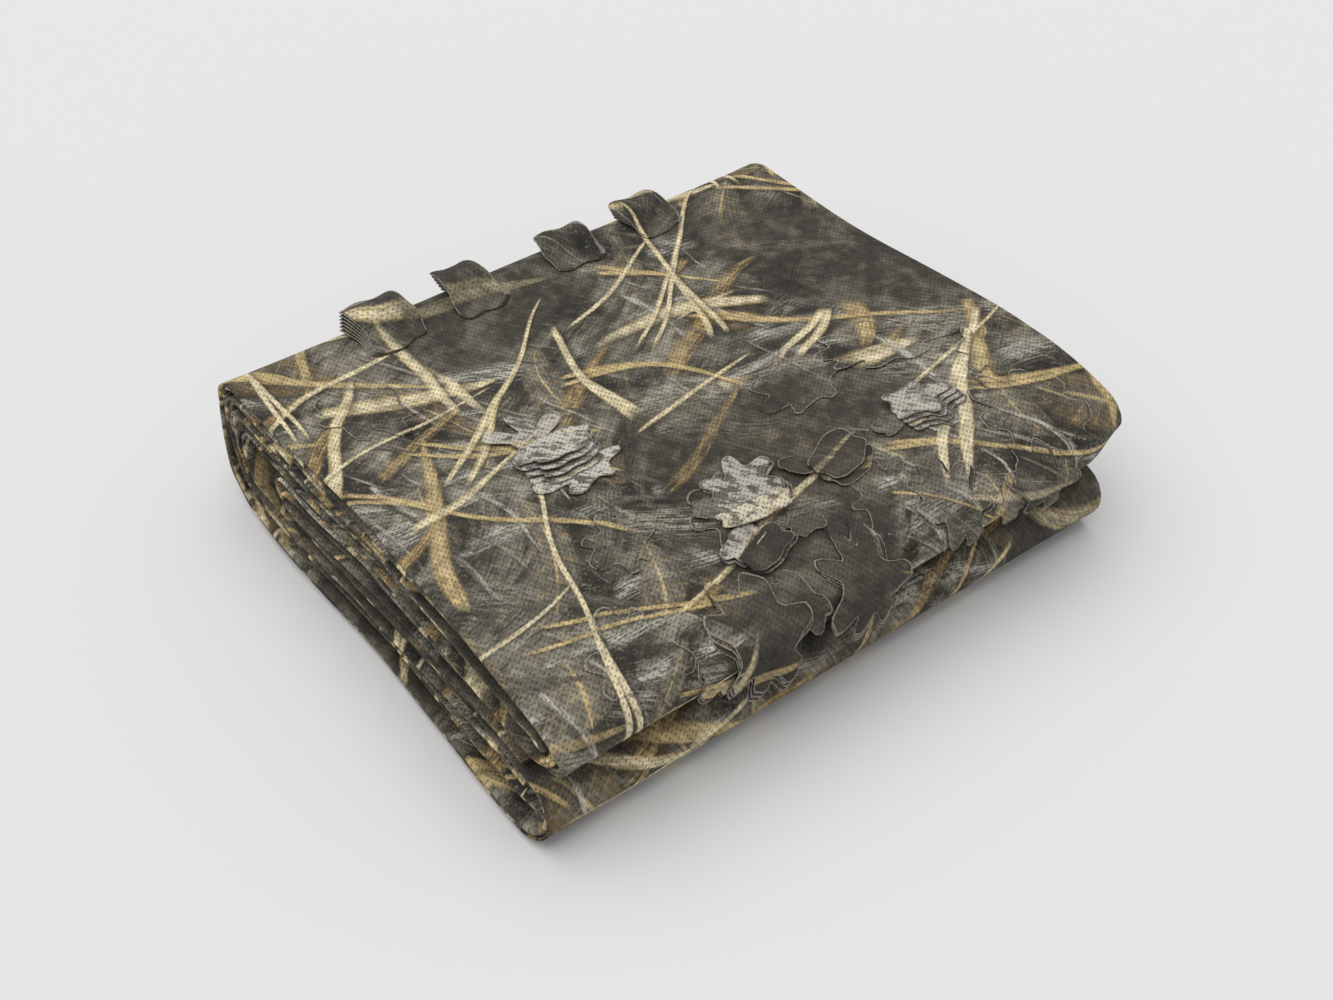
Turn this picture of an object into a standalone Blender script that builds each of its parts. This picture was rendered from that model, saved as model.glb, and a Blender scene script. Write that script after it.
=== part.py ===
"""A folded camouflage blind cloth, lying as a packet on its broad side.

The cloth is one printed non-woven panel with die-cut leaf flaps. It is folded in four across its width
into a strip, and the strip runs back and forth in twelve lengths: six levels that bend together round a
spine at the back, so that each level has one length in the lower lobe and one in the upper lobe.

X runs along the packet's long side, Y from its front to its back, Z up. The origin is under the middle.
One solid stands for the whole cloth: the strip's four plies are closed up to one layer, and the layers
lie a little apart.
"""

import math

import bmesh
import bpy
from mathutils import Vector

MM = 0.001

# Driving sizes
LENGTH = 352 * MM  # along X, before the layers' ends are staggered
DEPTH = 307 * MM  # from the front noses to the back of the spine
HEIGHT = 76.0 * MM  # of twelve layers
LAYER = 4.1 * MM  # four plies of cloth lying together
CREASE = 2.6 * MM  # open height between the two lobes
LEVELS = 6
PITCH = (HEIGHT / 2 - CREASE / 2 - LAYER) / (LEVELS - 1)

MIDDLE = HEIGHT / 2
FRONT = -DEPTH / 2
BACK = DEPTH / 2
LOWER = "lower"
UPPER = "upper"

# Places along Y where every length of the strip has a row of points
ROWS = [row * 30 * MM - 105 * MM for row in range(8)]
ROW_CLEARANCE = 8 * MM

# How each level bends round the spine: its inset from the back, its reach and its number of segments
SPINE_TURNS = {
    1: {"inset": 0.0 * MM, "reach": 22.0 * MM, "segments": 10},
    2: {"inset": 6.2 * MM, "reach": 20.0 * MM, "segments": 8},
    3: {"inset": 12.4 * MM, "reach": 17.5 * MM, "segments": 8},
    4: {"inset": 19.0 * MM, "reach": 15.0 * MM, "segments": 8},
    5: {"inset": 54.0 * MM, "reach": 10.0 * MM, "segments": 6},
    6: {"inset": 62.0 * MM, "reach": 4.2 * MM, "segments": 6},
}

# The folds at the front, in the order in which the strip comes to them
FRONT_TURNS = [
    {"lobe": UPPER, "levels": (4, 3), "inset": 15.5 * MM, "reach": 3.0 * MM, "segments": 5},
    {"lobe": LOWER, "levels": (3, 2), "inset": 10.0 * MM, "reach": 3.0 * MM, "segments": 5},
    {"lobe": UPPER, "levels": (2, 5), "inset": 6.4 * MM, "reach": 13.0 * MM, "segments": 7},
    {"lobe": LOWER, "levels": (5, 1), "inset": 0.9 * MM, "reach": 14.5 * MM, "segments": 8},
    {"lobe": UPPER, "levels": (1, 6), "inset": 0.0 * MM, "reach": 20.0 * MM, "segments": 9},
]

# How far the strip's two cut ends stop behind the front of the lower lobe
FREE_END_INSETS = {4: 13.0 * MM, 6: 14.0 * MM}

# How far each length stands in (+) or out (-) at the left end, and the same at the right end
STAGGER = {
    (LOWER, 1): {"left": -5.5 * MM, "right": 4.0 * MM},
    (LOWER, 2): {"left": -7.0 * MM, "right": 2.0 * MM},
    (LOWER, 3): {"left": -5.0 * MM, "right": 5.0 * MM},
    (LOWER, 4): {"left": -5.5 * MM, "right": 3.0 * MM},
    (LOWER, 5): {"left": -2.5 * MM, "right": 6.0 * MM},
    (LOWER, 6): {"left": -3.5 * MM, "right": 1.0 * MM},
    (UPPER, 6): {"left": 0.5 * MM, "right": 0.0 * MM},
    (UPPER, 5): {"left": -0.5 * MM, "right": 3.0 * MM},
    (UPPER, 4): {"left": 2.0 * MM, "right": -1.0 * MM},
    (UPPER, 3): {"left": 0.5 * MM, "right": 1.0 * MM},
    (UPPER, 2): {"left": 3.0 * MM, "right": -3.0 * MM},
    (UPPER, 1): {"left": 1.0 * MM, "right": -4.0 * MM},
}
STAGGER_SLANT = 1.5 * MM  # how far a layer's end runs askew from front to back
STAGGER_REACH = 70 * MM

# How the even packet settles. Heights change most at the front, where the two lobes part.
CREASE_RISE_LEFT = -2.0 * MM
CREASE_RISE_RIGHT = 8.0 * MM
CREASE_RISE_AT_BACK = 0.25  # share of the rise that is left behind the middle
NOSE_DROP = 8.0 * MM  # of the top, down to the upper nose
NOSE_DROP_FROM = -80 * MM
SPINE_BELLY = 9.0 * MM  # how far the spine bulges back, most at this height
SPINE_BELLY_HEIGHT = 61 * MM
SPINE_BELLY_WIDTH = 24 * MM
SPINE_FOOT = 3.0 * MM  # how far its foot stays in
SPINE_FROM = 80 * MM
SAG = 6.0 * MM  # of the layers under the top one, at the left end in front of the spine's hollow
SAG_PLACE = 52 * MM
SAG_WIDTH = 30 * MM
TOP_LAYER_HEIGHTS = (HEIGHT - PITCH, HEIGHT - LAYER)  # the sag ends in the gap below the top layer
UPPER_HEIGHTS = (30 * MM, 44 * MM)  # below the first, nothing of what moves the upper lobe alone
CORNER = 12 * MM  # how far the upper lobe's right front corner is drawn back
SPREAD = 7 * MM  # how far the upper lobe spreads to the right towards the front
SLIP = 4 * MM  # how far the packet's back slips to the left
LONG_WAVE = 0.9 * MM
SHORT_WAVE = 0.7 * MM
UNDERSIDE_CURL = 2.0 * MM  # how far the underside's edges stand off the ground
FLAT_HALF_LENGTH = 157 * MM  # of the flat that the packet rests on
FLAT_HALF_DEPTH = 105.5 * MM

# Stations along X where the section is repeated, and the rounded fold edge at each end
STATIONS = [-150 * MM, -105 * MM, -55 * MM, 0.0, 55 * MM, 105 * MM, 150 * MM]
EDGE_ROUND = 1.6 * MM
EDGE_SHARE = 0.45  # of the layer's thickness that is left at the very edge

# Leaf flaps that lie on the packet: the middle's place along X, the distance round the outer layer from
# the brink where the top turns down to the front nose (less than nothing on the top), the leaf's length
# and width, its turn in degrees from lying along X, its lobes on a side and its lift off the cloth
FLAPS = [
    {"x": -73, "round": -128, "length": 76, "width": 50, "turn": 86, "lobes": 4, "lift": 3.0},
    {"x": -19, "round": -38, "length": 66, "width": 54, "turn": 120, "lobes": 3, "lift": 4.0},
    {"x": 43, "round": -48, "length": 54, "width": 42, "turn": 155, "lobes": 3, "lift": 3.5},
    {"x": 103, "round": -49, "length": 48, "width": 38, "turn": 15, "lobes": 3, "lift": 3.0},
    {"x": -59, "round": 25, "length": 62, "width": 38, "turn": 84, "lobes": 3, "lift": 1.4},
    {"x": 2, "round": 23, "length": 58, "width": 46, "turn": 98, "lobes": 3, "lift": 1.4},
    {"x": 114, "round": 18, "length": 44, "width": 24, "turn": 92, "lobes": 2, "lift": 1.4},
    {"x": -78, "round": -272, "length": 34, "width": 40, "turn": 80, "lobes": 2, "lift": 7.0},
    {"x": -20, "round": -272, "length": 32, "width": 42, "turn": 95, "lobes": 2, "lift": 8.0},
    {"x": 38, "round": -272, "length": 30, "width": 36, "turn": 85, "lobes": 2, "lift": 6.0},
    {"x": 92, "round": -272, "length": 28, "width": 28, "turn": 90, "lobes": 2, "lift": 5.0},
]
FLAP_SUNK = 1.2 * MM  # how far a flap's underside lies in the layer it is joined to
FLAP_RIM = 1.3 * MM  # how far its rim stands off the cloth
FLAP_CLEARANCE = 0.3 * MM  # between the foremost point's plane and a flap that hangs past it
LOBE_DEPTH = 0.42
LOBE_SHIFT = 0.6  # radians between the lobes on a leaf's two sides
ROWS_A_LOBE = 6


def smooth(low, high, value):
    """0 before low, 1 past high, and a soft rise between. low may be the larger."""
    share = min(max((value - low) / (high - low), 0.0), 1.0)
    return share * share * (3 - 2 * share)


def hump(value, centre, width):
    """1 at the centre, falling softly to 0 on both sides."""
    return math.exp(-(((value - centre) / width) ** 2))


def layer_height(lobe, level):
    """The middle of a layer, where level 1 is the outermost of its lobe."""
    height = LAYER / 2 + (level - 1) * PITCH
    return height if lobe == LOWER else HEIGHT - height


def half_turn(tip, reach, start, end, segments):
    """Points of a half ellipse from height start to height end. reach is signed, towards the tip."""
    middle = (start + end) / 2
    half = (end - start) / 2
    points = []
    for step in range(segments + 1):
        angle = math.pi * (step / segments - 0.5)
        points.append((tip - reach + reach * math.cos(angle), middle + half * math.sin(angle)))
    return points


def front_start(lobe, level):
    """Where a length's straight run begins at the front."""
    for turn in FRONT_TURNS:
        if turn["lobe"] == lobe and level in turn["levels"]:
            return FRONT + LAYER / 2 + turn["inset"] + turn["reach"]
    return FRONT + FREE_END_INSETS[level]


def spine_turn(level):
    """The level's bend at the back, from the lower lobe up to the upper one."""
    turn = SPINE_TURNS[level]
    tip = BACK - LAYER / 2 - turn["inset"]
    heights = layer_height(LOWER, level), layer_height(UPPER, level)
    return half_turn(tip, turn["reach"], *heights, turn["segments"])


def level_points(level):
    """One level from the front of the lower lobe, round the spine, to the front of the upper lobe."""
    turn = spine_turn(level)
    brink = turn[0][0]
    runs = {}
    for lobe in (LOWER, UPPER):
        start = front_start(lobe, level)
        rows = [row for row in ROWS if start + ROW_CLEARANCE < row < brink - ROW_CLEARANCE]
        height = layer_height(lobe, level)
        runs[lobe] = [(row, height, (lobe, level)) for row in rows]
        if lobe == LOWER and level in FREE_END_INSETS:
            runs[lobe].insert(0, (start, height, (lobe, level)))
    bend = [(y, z, (LOWER if z < MIDDLE else UPPER, level)) for y, z in turn]
    return runs[LOWER] + bend + runs[UPPER][::-1]


def front_turn_points(turn):
    """A fold at the front, between the two levels that it joins."""
    first, second = turn["levels"]
    tip = FRONT + LAYER / 2 + turn["inset"]
    heights = layer_height(turn["lobe"], first), layer_height(turn["lobe"], second)
    points = half_turn(tip, -turn["reach"], *heights, turn["segments"])
    half = len(points) / 2
    return [
        (y, z, (turn["lobe"], first if step < half else second)) for step, (y, z) in enumerate(points)
    ]


def strip_path():
    """The whole strip's middle line in the section, from one cut end to the other."""
    order = [FRONT_TURNS[0]["levels"][0]] + [turn["levels"][1] for turn in FRONT_TURNS]
    path = level_points(order[0])
    upward = True
    for turn, level in zip(FRONT_TURNS, order[1:]):
        path += front_turn_points(turn)
        upward = not upward
        points = level_points(level)
        path += points if upward else points[::-1]
    return path


def normals_of(path):
    """A unit normal at each point of a line in the section, to the left of its way."""
    normals = []
    for index in range(len(path)):
        before = path[max(index - 1, 0)]
        after = path[min(index + 1, len(path) - 1)]
        along = Vector((after[0] - before[0], after[1] - before[1])).normalized()
        normals.append(Vector((-along.y, along.x)))
    return normals


def settle(x, y, z):
    """Moves a point of the even packet to where the cloth's sag and slouch have it."""
    rightward = (x / LENGTH) + 0.5
    front = smooth(-40 * MM, FRONT, y)
    back = smooth(SPINE_FROM, BACK, y)
    upper = smooth(*UPPER_HEIGHTS, z)
    from_faces = 1 - abs(z - MIDDLE) / MIDDLE
    above_middle = max(z - MIDDLE, 0.0) / MIDDLE

    rise = CREASE_RISE_LEFT + (CREASE_RISE_RIGHT - CREASE_RISE_LEFT) * rightward
    rise *= CREASE_RISE_AT_BACK + (1 - CREASE_RISE_AT_BACK) * front
    drop = NOSE_DROP * smooth(NOSE_DROP_FROM, FRONT, y)
    sag = SAG * hump(y, SAG_PLACE, SAG_WIDTH) * smooth(-70 * MM, -LENGTH / 2, x)
    sag *= min(above_middle * 1.2, 1.0) * smooth(TOP_LAYER_HEIGHTS[1], TOP_LAYER_HEIGHTS[0], z)
    wave = LONG_WAVE * math.sin(x / (47 * MM) + y / (90 * MM))
    wave += SHORT_WAVE * math.sin(y / (33 * MM) - x / (70 * MM))
    past_flat = max(
        smooth(FLAT_HALF_LENGTH, LENGTH / 2, abs(x)), smooth(FLAT_HALF_DEPTH, BACK, abs(y))
    )
    curl = UNDERSIDE_CURL * past_flat * (1 - z / HEIGHT)
    new_z = z + rise * from_faces - drop * above_middle - sag + wave * z / HEIGHT + curl

    belly = SPINE_BELLY * hump(z, SPINE_BELLY_HEIGHT, SPINE_BELLY_WIDTH)
    belly -= SPINE_FOOT * smooth(MIDDLE, 0.0, z)
    corner = CORNER * smooth(140 * MM, 184 * MM, x) * smooth(-100 * MM, FRONT, y) * upper
    new_y = y + back * belly + corner

    spread = SPREAD * smooth(60 * MM, 170 * MM, x) * smooth(90 * MM, -60 * MM, y) * upper
    slip = SLIP * smooth(-60 * MM, -170 * MM, x) * smooth(0.0, 140 * MM, y)
    return Vector((x + spread - slip, new_y, new_z))


def stagger_at(tag, y, side):
    slant = STAGGER_SLANT * (y / BACK) * (1 if tag[1] % 2 else -1)
    return STAGGER[tag][side] + slant


def shifted(x, tag, y):
    """A station's place along X on one length of the strip, whose ends stand in or out."""
    left = smooth(-LENGTH / 2 + STAGGER_REACH, -LENGTH / 2, x)
    right = smooth(LENGTH / 2 - STAGGER_REACH, LENGTH / 2, x)
    return x + left * stagger_at(tag, y, "left") - right * stagger_at(tag, y, "right")


def section_at(x, path, normals, share):
    """Both faces of the strip at one station, as two lists of points."""
    faces = []
    for side in (1, -1):
        offset = side * share * LAYER / 2
        faces.append(
            [
                settle(shifted(x, tag, y), y + offset * normal.x, z + offset * normal.y)
                for (y, z, tag), normal in zip(path, normals)
            ]
        )
    return faces


def folded_strip():
    """The strip of cloth, back and forth through the packet, as one closed mesh."""
    path = strip_path()
    normals = normals_of(path)
    end = LENGTH / 2
    stations = [(-end, EDGE_SHARE), (EDGE_ROUND - end, 1.0)]
    stations += [(x, 1.0) for x in STATIONS]
    stations += [(end - EDGE_ROUND, 1.0), (end, EDGE_SHARE)]

    mesh = bmesh.new()
    sections = []
    for x, share in stations:
        faces = section_at(x, path, normals, share)
        sections.append([[mesh.verts.new(point) for point in face] for face in faces])
    last = len(path) - 1
    for near, far in zip(sections, sections[1:]):
        for step in range(last):
            for side in (0, 1):
                mesh.faces.new(
                    (near[side][step], near[side][step + 1], far[side][step + 1], far[side][step])
                )
        for step in (0, last):
            mesh.faces.new((near[0][step], near[1][step], far[1][step], far[0][step]))
    for section in (sections[0], sections[-1]):
        for step in range(last):
            mesh.faces.new(
                (section[0][step], section[1][step], section[1][step + 1], section[0][step + 1])
            )
    bmesh.ops.recalc_face_normals(mesh, faces=mesh.faces)
    return mesh


def outer_line():
    """The packet's outer face over the top, the spine and the upper nose, as points with their normals.

    It starts low on the spine. Past the nose's foremost point it hangs straight down."""
    spine = spine_turn(1)
    nose = front_turn_points(FRONT_TURNS[-1])
    path = [(y, z) for y, z in spine] + [(y, z) for y, z, _ in nose[: len(nose) // 2 + 1]]
    line = []
    for (y, z), normal in zip(path, normals_of(path)):
        line.append((Vector((y, z)) - normal * LAYER / 2, -normal))
    return line


def place_round(line, brink, distance, lift):
    """The point that lies so far round the outer face from the brink, lifted off it.

    The distance grows down the nose, and past the line's end it goes on straight down."""
    way = 1 if distance >= 0 else -1
    left = abs(distance)
    step = brink
    while 0 <= step + way < len(line):
        here, there = line[step], line[step + way]
        length = (there[0] - here[0]).length
        if left < length:
            share = left / length
            normal = here[1].lerp(there[1], share).normalized()
            return here[0].lerp(there[0], share) + normal * lift
        left -= length
        step += way
    point, normal = line[step]
    return point + normal * max(lift, FLAP_CLEARANCE) + Vector((0.0, -left))


def leaf_half_width(share, flap, side):
    """Half of a leaf's width at a share of its length, drawn in between its lobes."""
    body = math.sin(math.pi * min(max(share, 0.03), 0.97)) ** 0.5
    angle = 2 * math.pi * flap["lobes"] * share + side * LOBE_SHIFT
    lobes = 1 - LOBE_DEPTH / 2 - LOBE_DEPTH / 2 * math.cos(angle)
    return flap["width"] * MM / 2 * body * lobes


def leaf_flap(flap, line, brink):
    """One leaf as a thin lobed plate that follows the packet's outer face."""
    mesh = bmesh.new()
    rows = flap["lobes"] * ROWS_A_LOBE
    turn = math.radians(flap["turn"])
    grid = []
    for row in range(rows + 1):
        share = row / rows
        along = (share - 0.5) * flap["length"] * MM
        crest = flap["lift"] * MM * (0.55 + 0.45 * math.sin(3 * math.pi * share + flap["x"]))
        points = []
        for side, lift in ((-1, 0.6 * crest), (0, crest), (1, 0.6 * crest)):
            across = side * leaf_half_width(share, flap, side)
            x = flap["x"] * MM + along * math.cos(turn) - across * math.sin(turn)
            distance = flap["round"] * MM - along * math.sin(turn) - across * math.cos(turn)
            for height in (-FLAP_SUNK, FLAP_RIM + lift):
                y, z = place_round(line, brink, distance, height)
                points.append(mesh.verts.new(settle(x, y, z)))
        grid.append(points)
    ring = (0, 2, 4, 5, 3, 1)
    for near, far in zip(grid, grid[1:]):
        for first, second in zip(ring, ring[1:] + ring[:1]):
            mesh.faces.new((near[first], near[second], far[second], far[first]))
    for points in (grid[0], grid[-1]):
        mesh.faces.new((points[0], points[2], points[3], points[1]))
        mesh.faces.new((points[2], points[4], points[5], points[3]))
    bmesh.ops.recalc_face_normals(mesh, faces=mesh.faces)
    return mesh


def stand_on_origin(meshes):
    """Moves the meshes together, so that the middle of their box is over the origin."""
    for axis in (0, 1):
        places = [vert.co[axis] for mesh in meshes for vert in mesh.verts]
        middle = (min(places) + max(places)) / 2
        for mesh in meshes:
            for vert in mesh.verts:
                vert.co[axis] -= middle


def new_object(name, mesh, collection):
    data = bpy.data.meshes.new(name)
    mesh.to_mesh(data)
    mesh.free()
    thing = bpy.data.objects.new(name, data)
    collection.objects.link(thing)
    return thing


def printed_cloth():
    """Matt non-woven cloth in the print's average colour."""
    material = bpy.data.materials.new("printed_cloth")
    material.use_nodes = True
    shader = material.node_tree.nodes["Principled BSDF"]
    shader.inputs["Base Color"].default_value = (0.105, 0.092, 0.068, 1.0)
    shader.inputs["Roughness"].default_value = 0.9
    shader.inputs["Metallic"].default_value = 0.0
    return material


def main():
    for thing in list(bpy.data.objects):
        bpy.data.objects.remove(thing)
    scene = bpy.context.scene.collection

    strip = folded_strip()
    line = outer_line()
    brink = len(spine_turn(1))
    leaves = [leaf_flap(flap, line, brink) for flap in FLAPS]
    stand_on_origin([strip] + leaves)

    cloth = new_object("folded_cloth", strip, scene)
    cloth.data.materials.append(printed_cloth())
    flaps = bpy.data.collections.new("leaf_flaps")
    scene.children.link(flaps)
    for number, leaf in enumerate(leaves):
        guide = new_object(f"leaf_flap_{number + 1}", leaf, flaps)
        guide.hide_render = True
        guide.display_type = "WIRE"

    union = cloth.modifiers.new("leaf_flaps", "BOOLEAN")
    union.operation = "UNION"
    union.operand_type = "COLLECTION"
    union.collection = flaps
    union.solver = "EXACT"


main()
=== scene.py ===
"""The looks of a folded camouflage blind cloth, around the solid that stands for it in the frame.

The cloth is one printed non-woven panel with die-cut leaf flaps. It is folded in four across its width
into a strip, and the strip runs back and forth through the packet. Here it is a thin sheet on the same
folds as the solid, with its four plies, and the leaf flaps lie on it and stand up from it.

X runs along the packet's long side, Y from its front to its back, Z up, in metres.
"""

import math

import bpy
import numpy as np
from mathutils import Matrix, Vector


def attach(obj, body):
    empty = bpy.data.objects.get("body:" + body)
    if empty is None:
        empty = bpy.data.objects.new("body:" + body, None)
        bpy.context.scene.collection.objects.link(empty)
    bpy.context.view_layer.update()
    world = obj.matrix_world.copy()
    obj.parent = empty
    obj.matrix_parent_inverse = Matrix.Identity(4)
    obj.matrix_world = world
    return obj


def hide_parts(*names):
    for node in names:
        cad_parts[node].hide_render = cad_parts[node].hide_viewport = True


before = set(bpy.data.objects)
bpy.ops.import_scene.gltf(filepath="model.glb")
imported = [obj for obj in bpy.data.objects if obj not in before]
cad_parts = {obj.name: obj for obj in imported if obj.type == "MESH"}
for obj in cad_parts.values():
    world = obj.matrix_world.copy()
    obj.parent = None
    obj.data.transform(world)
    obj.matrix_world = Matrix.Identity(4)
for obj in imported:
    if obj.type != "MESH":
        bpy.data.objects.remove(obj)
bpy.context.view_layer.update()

MM = 0.001
LOWER, UPPER = "lower", "upper"

# The even packet, before it settles. Its section's middle lies MIDDLE_Y in front of the frame's origin.
LENGTH = 352 * MM
DEPTH = 307 * MM
HEIGHT = 76 * MM
LAYER = 4.1 * MM
CREASE = 2.6 * MM
LEVELS = 6
PITCH = (HEIGHT / 2 - CREASE / 2 - LAYER) / (LEVELS - 1)
MIDDLE = HEIGHT / 2
FRONT, BACK = -DEPTH / 2, DEPTH / 2
MIDDLE_Y = 5.25 * MM

# How each level bends round the spine, and the folds at the front in the order of the strip
SPINE_TURNS = {
    1: {"inset": 0.0 * MM, "reach": 22.0 * MM},
    2: {"inset": 6.2 * MM, "reach": 20.0 * MM},
    3: {"inset": 12.4 * MM, "reach": 17.5 * MM},
    4: {"inset": 19.0 * MM, "reach": 15.0 * MM},
    5: {"inset": 54.0 * MM, "reach": 10.0 * MM},
    6: {"inset": 62.0 * MM, "reach": 4.2 * MM},
}
FRONT_TURNS = [
    {"lobe": UPPER, "levels": (4, 3), "inset": 15.5 * MM, "reach": 3.0 * MM},
    {"lobe": LOWER, "levels": (3, 2), "inset": 10.0 * MM, "reach": 3.0 * MM},
    {"lobe": UPPER, "levels": (2, 5), "inset": 6.4 * MM, "reach": 13.0 * MM},
    {"lobe": LOWER, "levels": (5, 1), "inset": 0.9 * MM, "reach": 14.5 * MM},
    {"lobe": UPPER, "levels": (1, 6), "inset": 0.0 * MM, "reach": 20.0 * MM},
]
FREE_END_INSETS = {4: 13.0 * MM, 6: 14.0 * MM}

# How far each length stands in at the left end and at the right end
STAGGER = {
    (LOWER, 1): (-8.6 * MM, 4.0 * MM),
    (LOWER, 2): (-2.0 * MM, 2.0 * MM),
    (LOWER, 3): (-3.3 * MM, 5.0 * MM),
    (LOWER, 4): (-4.6 * MM, 3.0 * MM),
    (LOWER, 5): (-1.8 * MM, 6.0 * MM),
    (LOWER, 6): (-3.2 * MM, 1.0 * MM),
    (UPPER, 6): (0.5 * MM, 0.0 * MM),
    (UPPER, 5): (-0.5 * MM, 3.0 * MM),
    (UPPER, 4): (2.0 * MM, -1.0 * MM),
    (UPPER, 3): (0.5 * MM, 1.0 * MM),
    (UPPER, 2): (3.0 * MM, -3.0 * MM),
    (UPPER, 1): (1.0 * MM, -4.0 * MM),
}
STAGGER_SLANT = 1.5 * MM  # more at the back and less in front, and the other way on even levels
STAGGER_REACH = 70 * MM  # from each end
EVENING_STEP, EVENING_REACH = 4 * MM, 4  # how values are evened along the strip, in steps each way

# How the packet settles: how far each thing moves, and where that begins and is full. A stretch lies
# along X and depths along Y.
CREASE_RISE_LEFT, CREASE_RISE_RIGHT, CREASE_DEPTHS = -2 * MM, 8 * MM, (-40 * MM, FRONT)
CREASE_RISE_AT_BACK = 0.25  # share of the rise that is left behind the middle
NOSE_DROP, NOSE_DEPTHS = 8 * MM, (-80 * MM, FRONT)  # of the top, down to the upper nose
SPINE_BELLY, SPINE_BELLY_HEIGHT, SPINE_BELLY_WIDTH = 9 * MM, 61 * MM, 24 * MM
SPINE_FOOT, SPINE_DEPTHS = 3 * MM, (80 * MM, BACK)
LEFT_STRETCH = (-60 * MM, -170 * MM)
END_BELLY_HEIGHT, END_FOOT, END_FOOT_HEIGHT = 65 * MM, 5 * MM, 60 * MM  # of the spine's left end
SAG, SAG_PLACE, SAG_WIDTH = 6 * MM, 52 * MM, 30 * MM  # of the layers under the top one, at the left
SAG_STRETCH, SAG_GROWTH = (-70 * MM, -LENGTH / 2), 1.2  # and how fast it grows from the middle up
UPPER_HEIGHTS = (30 * MM, 44 * MM)  # where what moves the upper lobe alone begins and is full
# The upper lobe's front right corner slips backwards, and its right end outwards
CORNER, CORNER_STRETCH, CORNER_DEPTHS = 12 * MM, (140 * MM, 184 * MM), (-100 * MM, FRONT)
SPREAD, SPREAD_STRETCH, SPREAD_DEPTHS = 11 * MM, (60 * MM, 170 * MM), (90 * MM, -60 * MM)
SLIP, SLIP_DEPTHS = 4 * MM, (0.0, 140 * MM)  # of the back's left end, outwards
LEAN, LEAN_DEPTHS = 5.5 * MM, (40 * MM, BACK)  # of its lower layers, inwards
LONG_WAVE, LONG_WAVE_X, LONG_WAVE_Y = 0.9 * MM, 47 * MM, 90 * MM
SHORT_WAVE, SHORT_WAVE_X, SHORT_WAVE_Y = 0.7 * MM, 70 * MM, 33 * MM
UNDERSIDE_CURL, FLAT_HALF_LENGTH, FLAT_HALF_DEPTH = 2 * MM, 157 * MM, 105.5 * MM

# The strip's four plies lie in a zigzag: a is the outermost, a and b join in a fold at the left end, b and
# c at the right end, and c and d at the left end. These are their offsets from the strip's middle, along
# the packet, then at the left end, at the lowest length's wide left fold, and at the right end.
FLAT_OFFSETS = np.array([-1.6, -0.55, 0.55, 1.6]) * MM
LEFT_OFFSETS = np.array([-1.8, 0.25, 0.65, 2.7]) * MM
WIDE_OFFSETS = np.array([-1.6, 0.3, 0.6, 4.4]) * MM
RIGHT_OFFSETS = np.array([-2.0, -0.8, 0.8, 2.1]) * MM
LEFT_REACH, LEFT_FULL, RIGHT_REACH = 13 * MM, 2 * MM, 22 * MM  # from the ends, where the plies spread
CUT_EDGE_A, CUT_EDGE_D = 175.4 * MM, 173.6 * MM
RIGHT_FOLD = 176 * MM
PLY_LOOSENESS, PLY_BEAT, PLY_PHASES = 0.3, 31 * MM, np.array([0.0, 1.1, 1.5, 2.6])
FOLD_PLAY = 1.3 * MM  # how far each of the left end's folds slips in or out
FOLD_BEATS, SECOND_FOLD_PHASE = (47 * MM, 39 * MM), 2.2
EDGE_RIPPLE, RIPPLE_BEATS, RIPPLE_SHARE, RIPPLE_PHASE = 0.22 * MM, (29 * MM, 11 * MM), 0.6, 1.3

# The panel's columns stand closer where the cloth bends and shows. Each place is from the packet's middle
# or, for the last three, from its left end.
FACE_COLUMNS, FACE_HALF = 62, 145 * MM
FACE_RIGHT_COLUMNS, FACE_RIGHT = 8, 150 * MM
FACE_LEFT_COLUMNS, FACE_LEFT = 11, -149 * MM
INNER_COLUMNS, INNER_RIGHT = 14, 168 * MM
END_COLUMNS, END_SEGMENTS, RIGHT_SEGMENTS = 4, 6, 4
END_BEND, END_SHOWN, END_HIDDEN = 3 * MM, 9 * MM, 22 * MM

INSIDE_FROM_END = (5 * MM, 32 * MM)  # where the shade between the layers begins and is full
INSIDE_FROM_FRONT = (14 * MM, 60 * MM)

SHOWN_SPACING, HIDDEN_SPACING = 4.2 * MM, 13 * MM  # between rows, on the outer faces and inside


# Helpers


def smooth(low, high, value):
    """0 before low, 1 past high, and a soft rise between. low may be the larger."""
    share = np.clip((value - low) / (high - low), 0.0, 1.0)
    return share * share * (3 - 2 * share)


def hump(value, centre, width):
    return np.exp(-(((value - centre) / width) ** 2))


# The folds' section


def layer_height(lobe, level):
    """The middle of a layer, where level 1 is the outermost of its lobe."""
    height = LAYER / 2 + (level - 1) * PITCH
    return height if lobe == LOWER else HEIGHT - height


def half_turn(tip, reach, start, end):
    """Points of a half ellipse from height start to height end. reach is signed, towards the tip."""
    half = (end - start) / 2
    around = math.pi * (abs(half) + abs(reach)) / 2
    segments = max(8, round(around / SHOWN_SPACING))
    angles = np.pi * (np.arange(segments + 1) / segments - 0.5)
    return tip - reach + reach * np.cos(angles), (start + end) / 2 + half * np.sin(angles)


def front_start(lobe, level):
    """Where a length's straight run begins at the front."""
    for turn in FRONT_TURNS:
        if turn["lobe"] == lobe and level in turn["levels"]:
            return FRONT + LAYER / 2 + turn["inset"] + turn["reach"]
    return FRONT + FREE_END_INSETS[level]


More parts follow.
